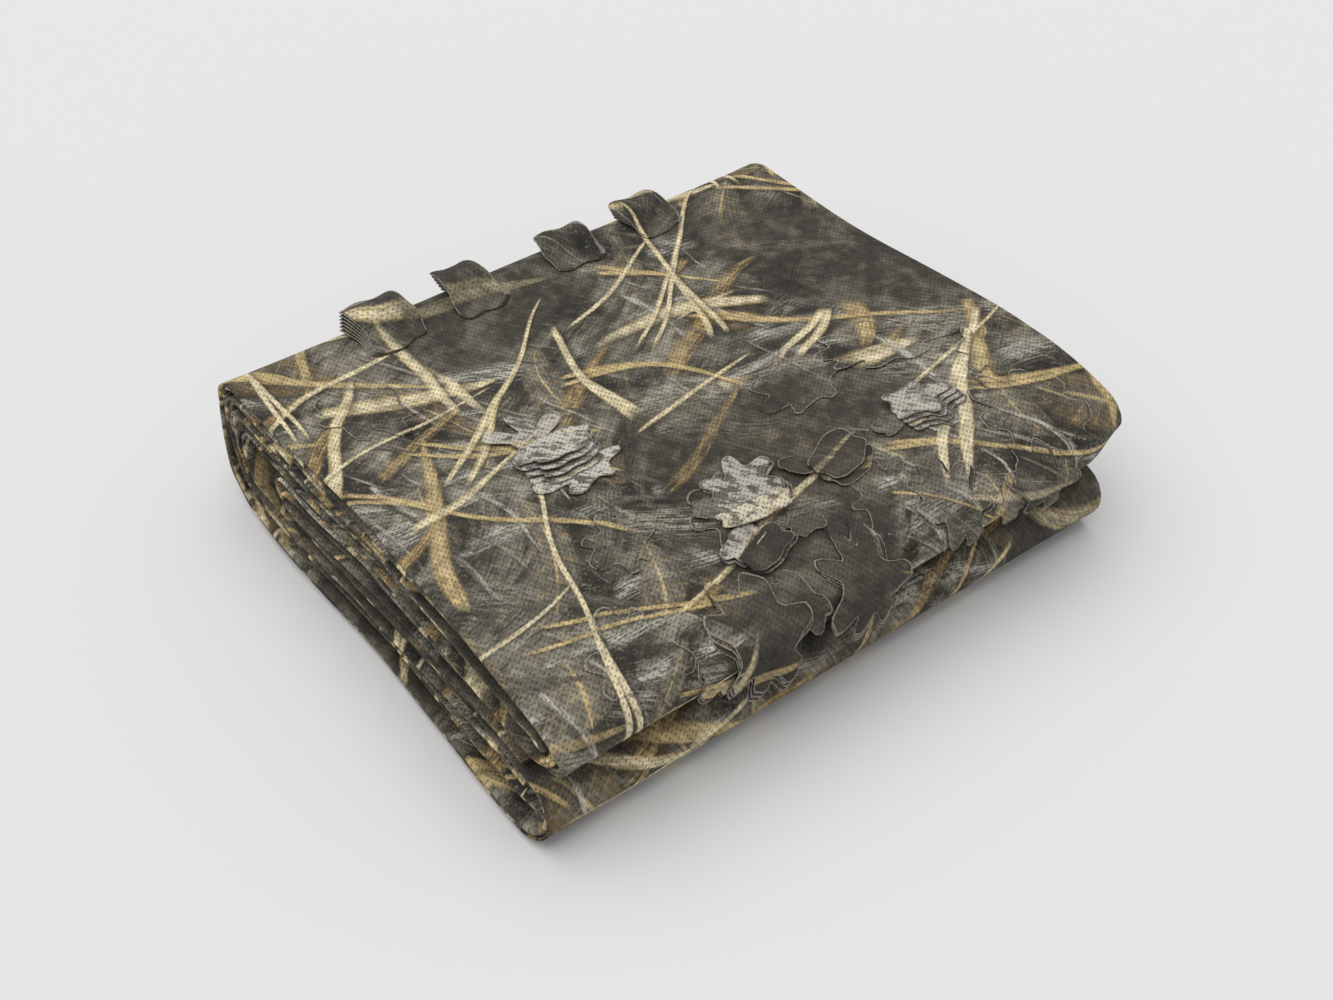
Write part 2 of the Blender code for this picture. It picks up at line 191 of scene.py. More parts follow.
class Strip:
    """The strip's middle line in the section, row by row, from one cut end to the other."""

    def __init__(self):
        self.y, self.z, self.tags, self.spans = [], [], [], []
        order = [FRONT_TURNS[0]["levels"][0]] + [turn["levels"][1] for turn in FRONT_TURNS]
        upward = True
        self.add_level(order[0], upward)
        for turn, level in zip(FRONT_TURNS, order[1:]):
            self.add_front_turn(turn)
            upward = not upward
            self.add_level(level, upward)
        self.y, self.z = np.array(self.y), np.array(self.z)
        steps = np.hypot(np.diff(self.y), np.diff(self.z))
        self.along = np.concatenate([[0.0], np.cumsum(steps)])
        way_y, way_z = np.gradient(self.y), np.gradient(self.z)
        size = np.hypot(way_y, way_z)
        self.normal_y, self.normal_z = -way_z / size, way_y / size

    def add(self, y, z, tags, span):
        self.y += list(y)
        self.z += list(z)
        self.tags += tags
        self.spans += [span] * len(tags)

    def add_run(self, lobe, level, start, end):
        """A straight length, without its two end points where a fold has them."""
        spacing = SHOWN_SPACING if level == 1 else HIDDEN_SPACING
        count = round(abs(end - start) / spacing)
        places = np.linspace(start, end, count + 1)[1:-1]
        heights = np.full(len(places), layer_height(lobe, level))
        self.add(places, heights, [(lobe, level)] * len(places), f"{lobe} {level}")

    def add_level(self, level, upward):
        """One level from the front of one lobe, round the spine, to the front of the other lobe."""
        first, second = (LOWER, UPPER) if upward else (UPPER, LOWER)
        spine = SPINE_TURNS[level]
        tip = BACK - LAYER / 2 - spine["inset"]
        heights = layer_height(first, level), layer_height(second, level)
        bend_y, bend_z = half_turn(tip, spine["reach"], *heights)
        self.add_run(first, level, front_start(first, level), bend_y[0])
        tags = [(LOWER if z < MIDDLE else UPPER, level) for z in bend_z]
        self.add(bend_y, bend_z, tags, f"spine {level}")
        self.add_run(second, level, bend_y[-1], front_start(second, level))

    def add_front_turn(self, turn):
        first, second = turn["levels"]
        tip = FRONT + LAYER / 2 + turn["inset"]
        heights = layer_height(turn["lobe"], first), layer_height(turn["lobe"], second)
        y, z = half_turn(tip, -turn["reach"], *heights)
        half = len(y) / 2
        tags = [(turn["lobe"], first if step < half else second) for step in range(len(y))]
        self.add(y, z, tags, f"{turn['lobe']} front {first} {second}")

    def rows_of(self, *spans):
        """The first and last row of the named stretches, which follow each other."""
        rows = [row for row, span in enumerate(self.spans) if span in spans]
        return rows[0], rows[-1]

    def evened(self, plain):
        """A value for each row, with its steps evened along the strip."""
        even = np.arange(0.0, self.along[-1], EVENING_STEP)
        padded = np.pad(np.interp(even, self.along, plain), EVENING_REACH, mode="edge")
        width = 2 * EVENING_REACH + 1
        soft = np.convolve(padded, np.ones(width) / width, mode="valid")
        return np.interp(self.along, even, soft)

    def staggers(self):
        """How far each row's left and right ends stand in."""
        ends = []
        for side in (0, 1):
            plain = []
            for y, tag in zip(self.y, self.tags):
                slant = STAGGER_SLANT * (y / BACK) * (1 if tag[1] % 2 else -1)
                plain.append(STAGGER[tag][side] + slant)
            ends.append(self.evened(np.array(plain)))
        return ends

    def left_offsets(self):
        """Each row's four ply offsets at the left end."""
        wide = np.array([1.0 if tag == (LOWER, 1) else 0.0 for tag in self.tags])
        return LEFT_OFFSETS + self.evened(wide)[:, None] * (WIDE_OFFSETS - LEFT_OFFSETS)


def settle(x, y, z):
    """Moves points of the even packet to where the cloth's sag and slouch have them."""
    rightward = x / LENGTH + 0.5
    front = smooth(*CREASE_DEPTHS, y)
    back = smooth(*SPINE_DEPTHS, y)
    left_end = smooth(*LEFT_STRETCH, x)
    upper = smooth(*UPPER_HEIGHTS, z)
    from_faces = 1 - np.abs(z - MIDDLE) / MIDDLE
    above_middle = np.maximum(z - MIDDLE, 0.0) / MIDDLE

    rise = CREASE_RISE_LEFT + (CREASE_RISE_RIGHT - CREASE_RISE_LEFT) * rightward
    rise = rise * (CREASE_RISE_AT_BACK + (1 - CREASE_RISE_AT_BACK) * front)
    drop = NOSE_DROP * smooth(*NOSE_DEPTHS, y)
    sag = SAG * hump(y, SAG_PLACE, SAG_WIDTH) * smooth(*SAG_STRETCH, x)
    sag = sag * np.minimum(above_middle * SAG_GROWTH, 1.0) * smooth(HEIGHT - LAYER, HEIGHT - PITCH, z)
    wave = LONG_WAVE * np.sin(x / LONG_WAVE_X + y / LONG_WAVE_Y)
    wave = wave + SHORT_WAVE * np.sin(y / SHORT_WAVE_Y - x / SHORT_WAVE_X)
    past_flat = np.maximum(
        smooth(FLAT_HALF_LENGTH, LENGTH / 2, np.abs(x)), smooth(FLAT_HALF_DEPTH, BACK, np.abs(y))
    )
    curl = UNDERSIDE_CURL * past_flat * (1 - z / HEIGHT)
    new_z = z + rise * from_faces - drop * above_middle - sag + wave * z / HEIGHT + curl

    belly_height = SPINE_BELLY_HEIGHT + (END_BELLY_HEIGHT - SPINE_BELLY_HEIGHT) * left_end
    belly = SPINE_BELLY * hump(z, belly_height, SPINE_BELLY_WIDTH)
    belly = belly - SPINE_FOOT * smooth(MIDDLE, 0.0, z)
    belly = belly - END_FOOT * left_end * smooth(END_FOOT_HEIGHT, 0.0, z)
    corner = CORNER * smooth(*CORNER_STRETCH, x) * smooth(*CORNER_DEPTHS, y) * upper
    new_y = y + back * belly + corner - MIDDLE_Y

    spread = SPREAD * smooth(*SPREAD_STRETCH, x) * smooth(*SPREAD_DEPTHS, y) * upper
    slip = SLIP * smooth(*SLIP_DEPTHS, y) - LEAN * smooth(*LEAN_DEPTHS, y) * smooth(HEIGHT, 0.0, z)
    return np.stack([x + spread - slip * left_end, new_y, new_z], axis=-1)


# The folded cloth


class Columns:
    """The panel's columns across its width, from ply a's cut edge to ply d's.

    Each has a place along X, the four plies' shares in it, and how a fold's size draws it in."""

    def __init__(self):
        left = -LENGTH / 2
        bend, shown_end, hidden = left + END_BEND, left + END_SHOWN, left + END_HIDDEN
        self.x, self.shares, self.tucks = [], [], []
        self.run(0, CUT_EDGE_A, FACE_RIGHT, FACE_RIGHT_COLUMNS)
        self.run(0, FACE_HALF, -FACE_HALF, FACE_COLUMNS)
        self.run(0, FACE_LEFT, bend, FACE_LEFT_COLUMNS)
        shown = len(self.x) - 3
        self.fold(0, 1, left, -1, END_SEGMENTS)
        self.run(1, bend, shown_end, END_COLUMNS)
        first_edge = len(self.x)
        self.run(1, hidden, INNER_RIGHT, INNER_COLUMNS)
        self.fold(1, 2, RIGHT_FOLD, 1, RIGHT_SEGMENTS)
        self.run(2, INNER_RIGHT, hidden, INNER_COLUMNS)
        second_start = len(self.x)
        self.run(2, shown_end, bend, END_COLUMNS)
        self.fold(2, 3, left, -1, END_SEGMENTS)
        self.run(3, bend, shown_end, END_COLUMNS)
        second_end = len(self.x)
        self.run(3, hidden, CUT_EDGE_D, INNER_COLUMNS)
        self.blocks = (0, shown, first_edge, second_start, second_end, len(self.x) - 1)
        self.x, self.shares, self.tucks = map(np.array, (self.x, self.shares, self.tucks))
        flat_x = self.x + self.tucks @ FLAT_OFFSETS
        steps = np.hypot(np.diff(flat_x), np.diff(self.shares @ FLAT_OFFSETS))
        self.across = np.concatenate([[0.0], np.cumsum(steps)])

    def run(self, ply, start, end, count):
        for x in np.linspace(start, end, count):
            self.x.append(x)
            self.shares.append(np.eye(4)[ply])
            self.tucks.append(np.zeros(4))

    def fold(self, first, second, tip, way, segments):
        """Half a circle from one ply to the next. way is -1 at the left end and 1 at the right."""
        for angle in np.linspace(-math.pi / 2, math.pi / 2, segments + 1):
            self.x.append(tip)
            pair = np.eye(4)[first] * (1 - math.sin(angle)) + np.eye(4)[second] * (1 + math.sin(angle))
            self.shares.append(pair / 2)
            self.tucks.append((np.eye(4)[first] - np.eye(4)[second]) * way * (1 - math.cos(angle)) / 2)


def cloth_points(strip, columns):
    """Every point of the folded panel, rows along the strip by columns across the panel."""
    left_in, right_in = (ends[:, None] for ends in strip.staggers())
    end = LENGTH / 2
    along = strip.along[:, None]
    at_left = smooth(-end + LEFT_REACH, -end + LEFT_FULL, columns.x)
    at_right = smooth(end - RIGHT_REACH, end, columns.x)
    spread = strip.left_offsets() - FLAT_OFFSETS
    spread = spread * (1 + PLY_LOOSENESS * np.sin(along / PLY_BEAT + PLY_PHASES))
    right_spread = RIGHT_OFFSETS - FLAT_OFFSETS

    def of_plies(weights):
        flat = weights @ FLAT_OFFSETS + at_right * (weights @ right_spread)
        return flat + at_left * (spread @ weights.T)

    first_pair = columns.shares[:, 0] + columns.shares[:, 1]
    play = first_pair * np.sin(along / FOLD_BEATS[0])
    play = play + (1 - first_pair) * np.sin(along / FOLD_BEATS[1] + SECOND_FOLD_PHASE)
    ripple = np.sin(along / RIPPLE_BEATS[0])
    ripple = ripple + RIPPLE_SHARE * np.sin(along / RIPPLE_BEATS[1] + RIPPLE_PHASE)
    left = smooth(-end + STAGGER_REACH, -end, columns.x)
    right = smooth(end - STAGGER_REACH, end, columns.x)
    x = columns.x + of_plies(columns.tucks) + left * left_in - right * right_in
    x = x + (at_left + at_right) * EDGE_RIPPLE * ripple + at_left * FOLD_PLAY * play
    out = of_plies(columns.shares)
    y = strip.y[:, None] + out * strip.normal_y[:, None]
    z = strip.z[:, None] + out * strip.normal_z[:, None]
    return settle(x, y, z)


def grid_faces(rows, columns):
    """The corner numbers of each face of a grid."""
    row, column = np.meshgrid(np.arange(rows - 1), np.arange(columns - 1), indexing="ij")
    first = (row * columns + column).ravel()
    return np.stack([first, first + columns, first + columns + 1, first + 1], axis=1)


def mesh_from(name, points, faces):
    mesh = bpy.data.meshes.new(name)
    mesh.from_pydata(points.reshape(-1, 3).tolist(), [], faces.tolist())
    mesh.update()
    mesh.shade_smooth()
    thing = bpy.data.objects.new(name, mesh)
    bpy.context.scene.collection.objects.link(thing)
    return thing


def set_uv(thing, name, corners):
    """corners holds a (u, v) for each corner of each face, in the mesh's own order."""
    layer = thing.data.uv_layers.new(name=name)
    layer.data.foreach_set("uv", np.asarray(corners, np.float32).ravel())


def set_values(mesh, name, values):
    """A number for each point, for the materials to read."""
    attribute = mesh.attributes.new(name, "FLOAT", "POINT")
    attribute.data.foreach_set("value", np.asarray(values, np.float32).ravel())


class Island:
    """A stretch of the panel, in metres across and along it, laid in a box of the unit square."""

    def __init__(self, across, along, box):
        self.across, self.along, self.box = across, along, box

    def lay(self, places):
        left, low, right, high = self.box
        share_u = (places[..., 0] - self.across[0]) / (self.across[1] - self.across[0])
        share_v = (places[..., 1] - self.along[0]) / (self.along[1] - self.along[0])
        return np.stack([left + share_u * (right - left), low + share_v * (high - low)], axis=-1)


# Where stretches of the panel lie in the second map, as left, low, right and high in the unit square. The
# first ply's come in the strip's order, and those of the two left folds are cut into narrow strips.
MAP_FIRST_PLY = [
    (0.940, 0.003, 0.997, 0.17),
    (0.003, 0.762, 0.62, 0.838),
    (0.003, 0.845, 0.62, 0.997),
    (0.003, 0.003, 0.62, 0.755),
    (0.940, 0.18, 0.997, 0.345),
]
MAP_MIDDLE_PLIES = (0.63, 0.36, 0.81, 0.997)
MAP_LAST_PLY = (0.82, 0.36, 0.997, 0.997)
MAP_STRIPS, MAP_STRIPS_LEFT, MAP_STRIP_PITCH, MAP_STRIP_WIDTH = 12, 0.63, 0.0255, 0.0115
MAP_STRIP_LOW, MAP_STRIP_HIGH, MAP_STRIP_GAP = 0.003, 0.345, 0.001


def lay_flat(strip, columns, corners, row, column):
    """A second map with most of its room for the faces that show. row and column are each face's own."""
    shown = strip.rows_of("spine 1", "upper 1", "upper front 1 6")
    nose = strip.rows_of("lower front 5 1")
    last = len(strip.along) - 1
    flat = np.zeros_like(corners)

    def place(block, rows, box):
        first, end = columns.blocks[block], columns.blocks[block + 1]
        chosen = (column >= first) & (column < end) & (row >= rows[0]) & (row < rows[1])
        across = columns.across[first], columns.across[end]
        along = strip.along[rows[0]], strip.along[rows[1]]
        flat[chosen] = Island(across, along, box).lay(corners[chosen])

    stretches = (0, nose[0]), nose, (nose[1], shown[0]), shown, (shown[1], last)
    for rows, box in zip(stretches, MAP_FIRST_PLY):
        place(0, rows, box)
    place(2, (0, last), MAP_MIDDLE_PLIES)
    place(4, (0, last), MAP_LAST_PLY)
    for number in range(MAP_STRIPS):
        rows = number * last // MAP_STRIPS, (number + 1) * last // MAP_STRIPS
        left = MAP_STRIPS_LEFT + number * MAP_STRIP_PITCH
        for block in (1, 3):
            place(block, rows, (left, MAP_STRIP_LOW, left + MAP_STRIP_WIDTH, MAP_STRIP_HIGH))
            left += MAP_STRIP_WIDTH + MAP_STRIP_GAP
    return flat


def inside_shade_share(strip, columns):
    """How far inside the packet each point is, from 0 on its outer faces and near its ends to 1, for
    painted shade.
    """
    first_ply_shows = [
        tag[1] == 1 or span in ("upper front 1 6", "lower front 5 1")
        for tag, span in zip(strip.tags, strip.spans)
    ]
    outer = np.array(first_ply_shows)[:, None] * columns.shares[:, 0]
    from_end = smooth(*INSIDE_FROM_END, LENGTH / 2 - np.abs(columns.x))
    from_front = smooth(FRONT + INSIDE_FROM_FRONT[0], FRONT + INSIDE_FROM_FRONT[1], strip.y)
    return from_front[:, None] * from_end * (1 - outer)


def folded_panel(strip):
    columns = Columns()
    points = cloth_points(strip, columns)
    shape = points.shape[:2]
    faces = grid_faces(*shape)
    cloth = mesh_from("blind_cloth", points, faces)

    along = np.broadcast_to(strip.along[:, None], shape)
    places = np.stack([np.broadcast_to(columns.across, shape), along], axis=-1)
    corners = places.reshape(-1, 2)[faces]
    set_uv(cloth, "print", corners)
    row, column = faces[:, 0] // shape[1], faces[:, 0] % shape[1]
    set_uv(cloth, "OFBake", lay_flat(strip, columns, corners, row, column))
    # The share of painted shade on the cloth inside the packet, between the layers
    set_values(cloth.data, "inside", inside_shade_share(strip, columns))
    cloth.data.uv_layers["print"].active_render = True
    cloth.data.uv_layers.active = cloth.data.uv_layers["print"]
    return cloth


# The die-cut leaves

# Each leaf: the middle's place along X, its distance round the outer face from the brink where the top
# turns down to the front (less than nothing on the top), length and width, turn in degrees from lying
# along X, lobes round it, their depth as a share, its seed, heights of its stalk end and its tip above the
# cloth, how far its rim curls up, its plies, how far each ply below slips along X and round the packet and
# how much lower it lies, all in mm, its tone, and how square it is, where 2 is round
LEAF_COLUMNS = (
    "x", "round", "length", "width", "turn", "lobes", "depth", "seed",
    "low", "high", "curl", "plies", "slip_x", "slip_round", "step", "tone", "square",
)  # fmt: skip
PRINT, SILVER_TONE, CREAM_TONE, DARK_TONE, GREY_TONE, DIM_TONE, SPECKLED_TONE = range(7)
TONES = (  # a colour each, and how much of it covers the print
    (0.10, 0.09, 0.07, 0.0),
    (0.62, 0.60, 0.53, 0.92),
    (0.74, 0.66, 0.50, 0.95),
    (0.050, 0.044, 0.036, 0.75),
    (0.23, 0.21, 0.17, 0.6),
    (0.066, 0.059, 0.048, 0.42),
    (0.58, 0.54, 0.47, 0.80),
)
LEAF_ROWS = [
    (-75, -141, 41, 54, 28, 6, 0.56, 6.28, 1.2, 1.4, 0.9, 1, 0, 0, 0, SPECKLED_TONE, 2),
    (-71, -130, 43, 17, 2, 5, 0.14, 4.4, 3.6, 3.2, 0.8, 4, -0.6, 4.2, 0.8, SILVER_TONE, 2.4),
    (-70, -112, 50, 32, 2, 6, 0.36, 12.57, 0.6, 1.2, 0.9, 1, 0, 0, 0, SILVER_TONE, 2),
    (-22, -44, 56, 54, 118, 8, 0.30, 4.6, 0.4, 0.8, 0.4, 1, 0, 0, 0, PRINT, 2),
    (-15, -54, 50, 38, 40, 6, 0.40, 1.9, 1.8, 2.6, 1.0, 2, 0.6, 2.2, 0.9, SPECKLED_TONE, 2),
    (-37, -51, 19, 14, 150, 3, 0.20, 5.3, 1.6, 2.4, 0.8, 1, 0, 0, 0, GREY_TONE, 3),
    (-38, -25, 28, 15, 24, 4, 0.20, 2.1, 2.4, 2.8, 1.2, 2, -0.6, 1.8, 0.8, SPECKLED_TONE, 3),
    (-31, -17, 30, 16, 19, 4, 0.03, 0.5, 4.4, 3.4, 0.4, 2, 1.0, 1.4, 1.3, DARK_TONE, 8),
    (-5, -20, 24, 18, 8, 3, 0.30, 2.5, 1.4, 2.0, 0.8, 1, 0, 0, 0, DIM_TONE, 3),
    (-21, -37, 38, 12, -8, 2, 0.05, 0.2, 4.8, 5.2, 0.7, 1, 0, 0, 0, CREAM_TONE, 5),
    (37, -43, 37, 23, 21, 4, 0.08, 5.2, 2.6, 2.6, 0.5, 2, 0.6, 4.6, 1.1, DARK_TONE, 4),
    (19, -50, 22, 16, 150, 3, 0.22, 1.4, 1.4, 1.8, 0.7, 1, 0, 0, 0, DIM_TONE, 2),
    (94, -50, 34, 26, -8, 5, 0.26, 6.4, 2.8, 2.6, 1.0, 4, 0.9, 3.2, 0.7, SPECKLED_TONE, 2),
    (74, -46, 20, 16, 170, 4, 0.24, 1.1, 0.8, 1.2, 0.6, 1, 0, 0, 0, GREY_TONE, 2),
    (-61, 20, 78, 50, -86, 7, 0.36, 2.2, 1.2, 4.8, 0.6, 3, -0.8, 3.4, 1.0, DIM_TONE, 2),
    (-36, 16, 44, 28, -74, 5, 0.32, 7.3, 0.8, 2.4, 0.4, 2, 0.8, 2.4, 0.7, PRINT, 2),
    (2, 22, 72, 48, -98, 7, 0.38, 8.1, 1.2, 4.8, 0.6, 3, 0.9, 3.4, 1.0, DIM_TONE, 2),
    (114, 22, 54, 36, -88, 6, 0.36, 5.5, 0.8, 3.2, 0.5, 2, 0.8, 2.8, 0.8, DIM_TONE, 2),
    (-88, 26, 36, 28, -100, 5, 0.34, 3.7, 0.6, 1.4, 0.4, 2, -0.8, 2.2, 0.7, PRINT, 2),
    (66, 8, 54, 42, -106, 7, 0.36, 9.3, 0.6, 2.8, 0.5, 2, 0.8, 2.6, 0.8, DIM_TONE, 2),
    (93, 28, 26, 18, -90, 4, 0.32, 0.8, 0.7, 1.4, 0.4, 1, 0, 0, 0, GREY_TONE, 2),
    (-86, -260, 31, 31, 90, 4, 0.02, 1.2, 0.0, 12.6, 0.2, 6, -0.7, 0.1, 2.0, PRINT, 7),
    (-35, -260, 31, 29, 92, 4, 0.03, 6.2, 0.0, 12.4, 0.2, 6, 0.6, 0.1, 2.0, PRINT, 7),
    (31, -260, 30, 31, 88, 4, 0.03, 2.2, 0.0, 9.4, 0.2, 5, 0.6, 0.1, 1.8, PRINT, 6),
    (86, -260, 30, 31, 91, 4, 0.03, 0.8, 0.0, 11.0, 0.2, 5, 0.4, 0.1, 2.0, PRINT, 6),
    (112, -98, 78, 40, 165, 9, 0.30, 0.5, 0.2, 1.1, 0.3, 1, 0, 0, 0, PRINT, 2),
    (136, -14, 70, 52, 102, 9, 0.30, 7.1, 0.2, 0.9, 0.3, 1, 0, 0, 0, PRINT, 2),
    (60, -100, 60, 40, 20, 7, 0.30, 4.4, 0.2, 0.8, 0.3, 1, 0, 0, 0, PRINT, 2),
    (42, -10, 56, 44, 60, 8, 0.32, 3.9, 0.2, 0.8, 0.3, 1, 0, 0, 0, PRINT, 2),
    (-84, -60, 44, 34, 60, 7, 0.32, 2.0, 0.2, 0.8, 0.3, 1, 0, 0, 0, PRINT, 2),
    (146, -60, 40, 28, 80, 6, 0.34, 6.6, 0.2, 0.9, 0.3, 1, 0, 0, 0, PRINT, 2),
    (-118, 2, 60, 48, 75, 8, 0.32, 2.3, 0.2, 0.8, 0.3, 1, 0, 0, 0, PRINT, 2),
    (-130, -210, 56, 42, 130, 7, 0.30, 0.2, 0.15, 0.6, 0.2, 1, 0, 0, 0, PRINT, 2),
]
LEAF_RINGS, LEAF_SEGMENTS = 8, 80
RING_CROWDING = 1.5  # the higher, the closer the rings stand at the rim
LOBE_FLANK = (-0.06, 0.94)  # where a lobe's side begins and ends, from one notch to the lobe's middle
LOBE_DRIFT, LOBE_SIZES, UNEVEN_SCALE = 7.0, 0.7, 1.1  # how unevenly lobes are spaced and sized
LEAF_SKIN = 0.45 * MM
LEAF_CLEARANCE = 0.35 * MM
LEAF_WAVE, LEAF_WAVE_HIGHEST, LEAF_WAVE_BEATS = 0.22, 4.0, (9, 5)  # of its height, up to so many mm
LEAF_CURLS, PLY_TURN = 3, 0.6  # places round the rim that curl up, and how far they turn with each ply
LEAF_RISE = (0.1, 1.0)  # where on its length a leaf begins to rise and is at its tip's height
LEAF_STALK = (0.02, 0.10)  # the share of its length where it joins the cloth and has no cut edge
PLY_LIFT = 0.15  # mm at the least from one ply to the next
PLY_ON_PRINT = np.array([0.11, 0.077])  # how far over the print each ply below comes from, in metres
PLY_SHADE = (3.2 * MM, 0.6 * MM)  # past the ply above, where its shade ends and is full
RIM = 0.999  # a point with more of the rim value lies on the cut edge


def input_socket(tree, name, kind, value):
    socket = tree.interface.new_socket(name=name, in_out="INPUT", socket_type=kind)
    socket.default_value = value
    return socket


def calculate(tree, operation, *values):
    """A math node. Each value is a number or another node's output."""
    node = tree.nodes.new("ShaderNodeMath")
    node.operation = operation
    for socket, value in zip(node.inputs, values):
        if isinstance(value, bpy.types.NodeSocket):
            tree.links.new(value, socket)
        else:
            socket.default_value = value
    return node.outputs[0]


def leaf_tree():
    """Geometry nodes for one flat die-cut leaf with rounded, uneven lobes. rim is 1 at its cut edge."""
    tree = bpy.data.node_groups.new("die_cut_leaf", "GeometryNodeTree")
    tree.interface.new_socket(name="Geometry", in_out="INPUT", socket_type="NodeSocketGeometry")
    tree.interface.new_socket(name="Geometry", in_out="OUTPUT", socket_type="NodeSocketGeometry")
    input_socket(tree, "Length", "NodeSocketFloat", 0.06)
    input_socket(tree, "Width", "NodeSocketFloat", 0.04)
    input_socket(tree, "Lobes", "NodeSocketInt", 7)
    input_socket(tree, "Lobe Depth", "NodeSocketFloat", 0.4)
    input_socket(tree, "Squareness", "NodeSocketFloat", 2.0)
    input_socket(tree, "Unevenness", "NodeSocketFloat", 1.0)
    input_socket(tree, "Seed", "NodeSocketFloat", 0.0)
    input_socket(tree, "Rings", "NodeSocketInt", LEAF_RINGS)
    input_socket(tree, "Segments", "NodeSocketInt", LEAF_SEGMENTS)
    tree.interface.new_socket(name="Finish", in_out="INPUT", socket_type="NodeSocketMaterial")

    def product(first, second):
        return calculate(tree, "MULTIPLY", first, second)

    given = tree.nodes.new("NodeGroupInput").outputs
    grid = tree.nodes.new("GeometryNodeMeshGrid")
    tree.links.new(calculate(tree, "ADD", given["Segments"], 1), grid.inputs["Vertices X"])
    tree.links.new(calculate(tree, "ADD", given["Rings"], 1), grid.inputs["Vertices Y"])
    grid.inputs["Size X"].default_value = 1.0
    grid.inputs["Size Y"].default_value = 1.0

    place = tree.nodes.new("ShaderNodeSeparateXYZ")
    tree.links.new(tree.nodes.new("GeometryNodeInputPosition").outputs[0], place.inputs[0])
    angle = product(calculate(tree, "ADD", place.outputs["X"], 0.5), math.tau)
    from_rim = calculate(tree, "SUBTRACT", 0.5, place.outputs["Y"])
    ring = calculate(tree, "SUBTRACT", 1.0, calculate(tree, "POWER", from_rim, RING_CROWDING))
    cosine, sine = calculate(tree, "COSINE", angle), calculate(tree, "SINE", angle)

    around = tree.nodes.new("ShaderNodeCombineXYZ")
    tree.links.new(cosine, around.inputs["X"])
    tree.links.new(sine, around.inputs["Y"])
    tree.links.new(given["Seed"], around.inputs["Z"])
    uneven = tree.nodes.new("ShaderNodeTexNoise")
    uneven.inputs["Scale"].default_value = UNEVEN_SCALE
    uneven.inputs["Detail"].default_value = 1.0
    tree.links.new(around.outputs[0], uneven.inputs["Vector"])
    parts = tree.nodes.new("ShaderNodeSeparateXYZ")
    tree.links.new(uneven.outputs["Color"], parts.inputs[0])
    drift = product(calculate(tree, "SUBTRACT", parts.outputs[0], 0.5), given["Unevenness"])
    size = product(calculate(tree, "SUBTRACT", parts.outputs[1], 0.5), given["Unevenness"])

    lobe_angle = calculate(tree, "MULTIPLY_ADD", angle, given["Lobes"], given["Seed"])
    lobe_angle = calculate(tree, "MULTIPLY_ADD", drift, LOBE_DRIFT, lobe_angle)
    lobe = calculate(tree, "MULTIPLY_ADD", calculate(tree, "COSINE", lobe_angle), 0.5, 0.5)
    lobe = soft_step(tree, lobe, *LOBE_FLANK)
    drawn_in = product(calculate(tree, "SUBTRACT", 1.0, lobe), given["Lobe Depth"])
    radius = calculate(tree, "SUBTRACT", calculate(tree, "MULTIPLY_ADD", size, LOBE_SIZES, 1.0), drawn_in)
    sides = [
        calculate(tree, "POWER", calculate(tree, "ABSOLUTE", side), given["Squareness"])
        for side in (cosine, sine)
    ]
    corner = calculate(tree, "DIVIDE", -1.0, given["Squareness"])
    radius = product(radius, calculate(tree, "POWER", calculate(tree, "ADD", *sides), corner))
    reach = product(radius, ring)
    along = product(product(reach, cosine), product(given["Length"], 0.5))
    aside = product(product(reach, sine), product(given["Width"], 0.5))
    flat = tree.nodes.new("ShaderNodeCombineXYZ")
    tree.links.new(along, flat.inputs["X"])
    tree.links.new(aside, flat.inputs["Y"])

    rim = tree.nodes.new("GeometryNodeStoreNamedAttribute")
    rim.data_type = "FLOAT"
    rim.domain = "POINT"
    rim.inputs["Name"].default_value = "rim"
    tree.links.new(grid.outputs["Mesh"], rim.inputs["Geometry"])
    tree.links.new(ring, rim.inputs["Value"])
    shape = tree.nodes.new("GeometryNodeSetPosition")
    tree.links.new(rim.outputs["Geometry"], shape.inputs["Geometry"])
    tree.links.new(flat.outputs["Vector"], shape.inputs["Position"])
    merge = tree.nodes.new("GeometryNodeMergeByDistance")
    merge.inputs["Distance"].default_value = 0.01 * MM
    tree.links.new(shape.outputs["Geometry"], merge.inputs["Geometry"])
    realize = tree.nodes.new("GeometryNodeRealizeInstances")
    tree.links.new(merge.outputs["Geometry"], realize.inputs["Geometry"])
    finish = tree.nodes.new("GeometryNodeSetMaterial")
    tree.links.new(realize.outputs["Geometry"], finish.inputs["Geometry"])
    tree.links.new(given["Finish"], finish.inputs["Material"])
    result = tree.nodes.new("NodeGroupOutput")
    tree.links.new(finish.outputs["Geometry"], result.inputs["Geometry"])
    return tree


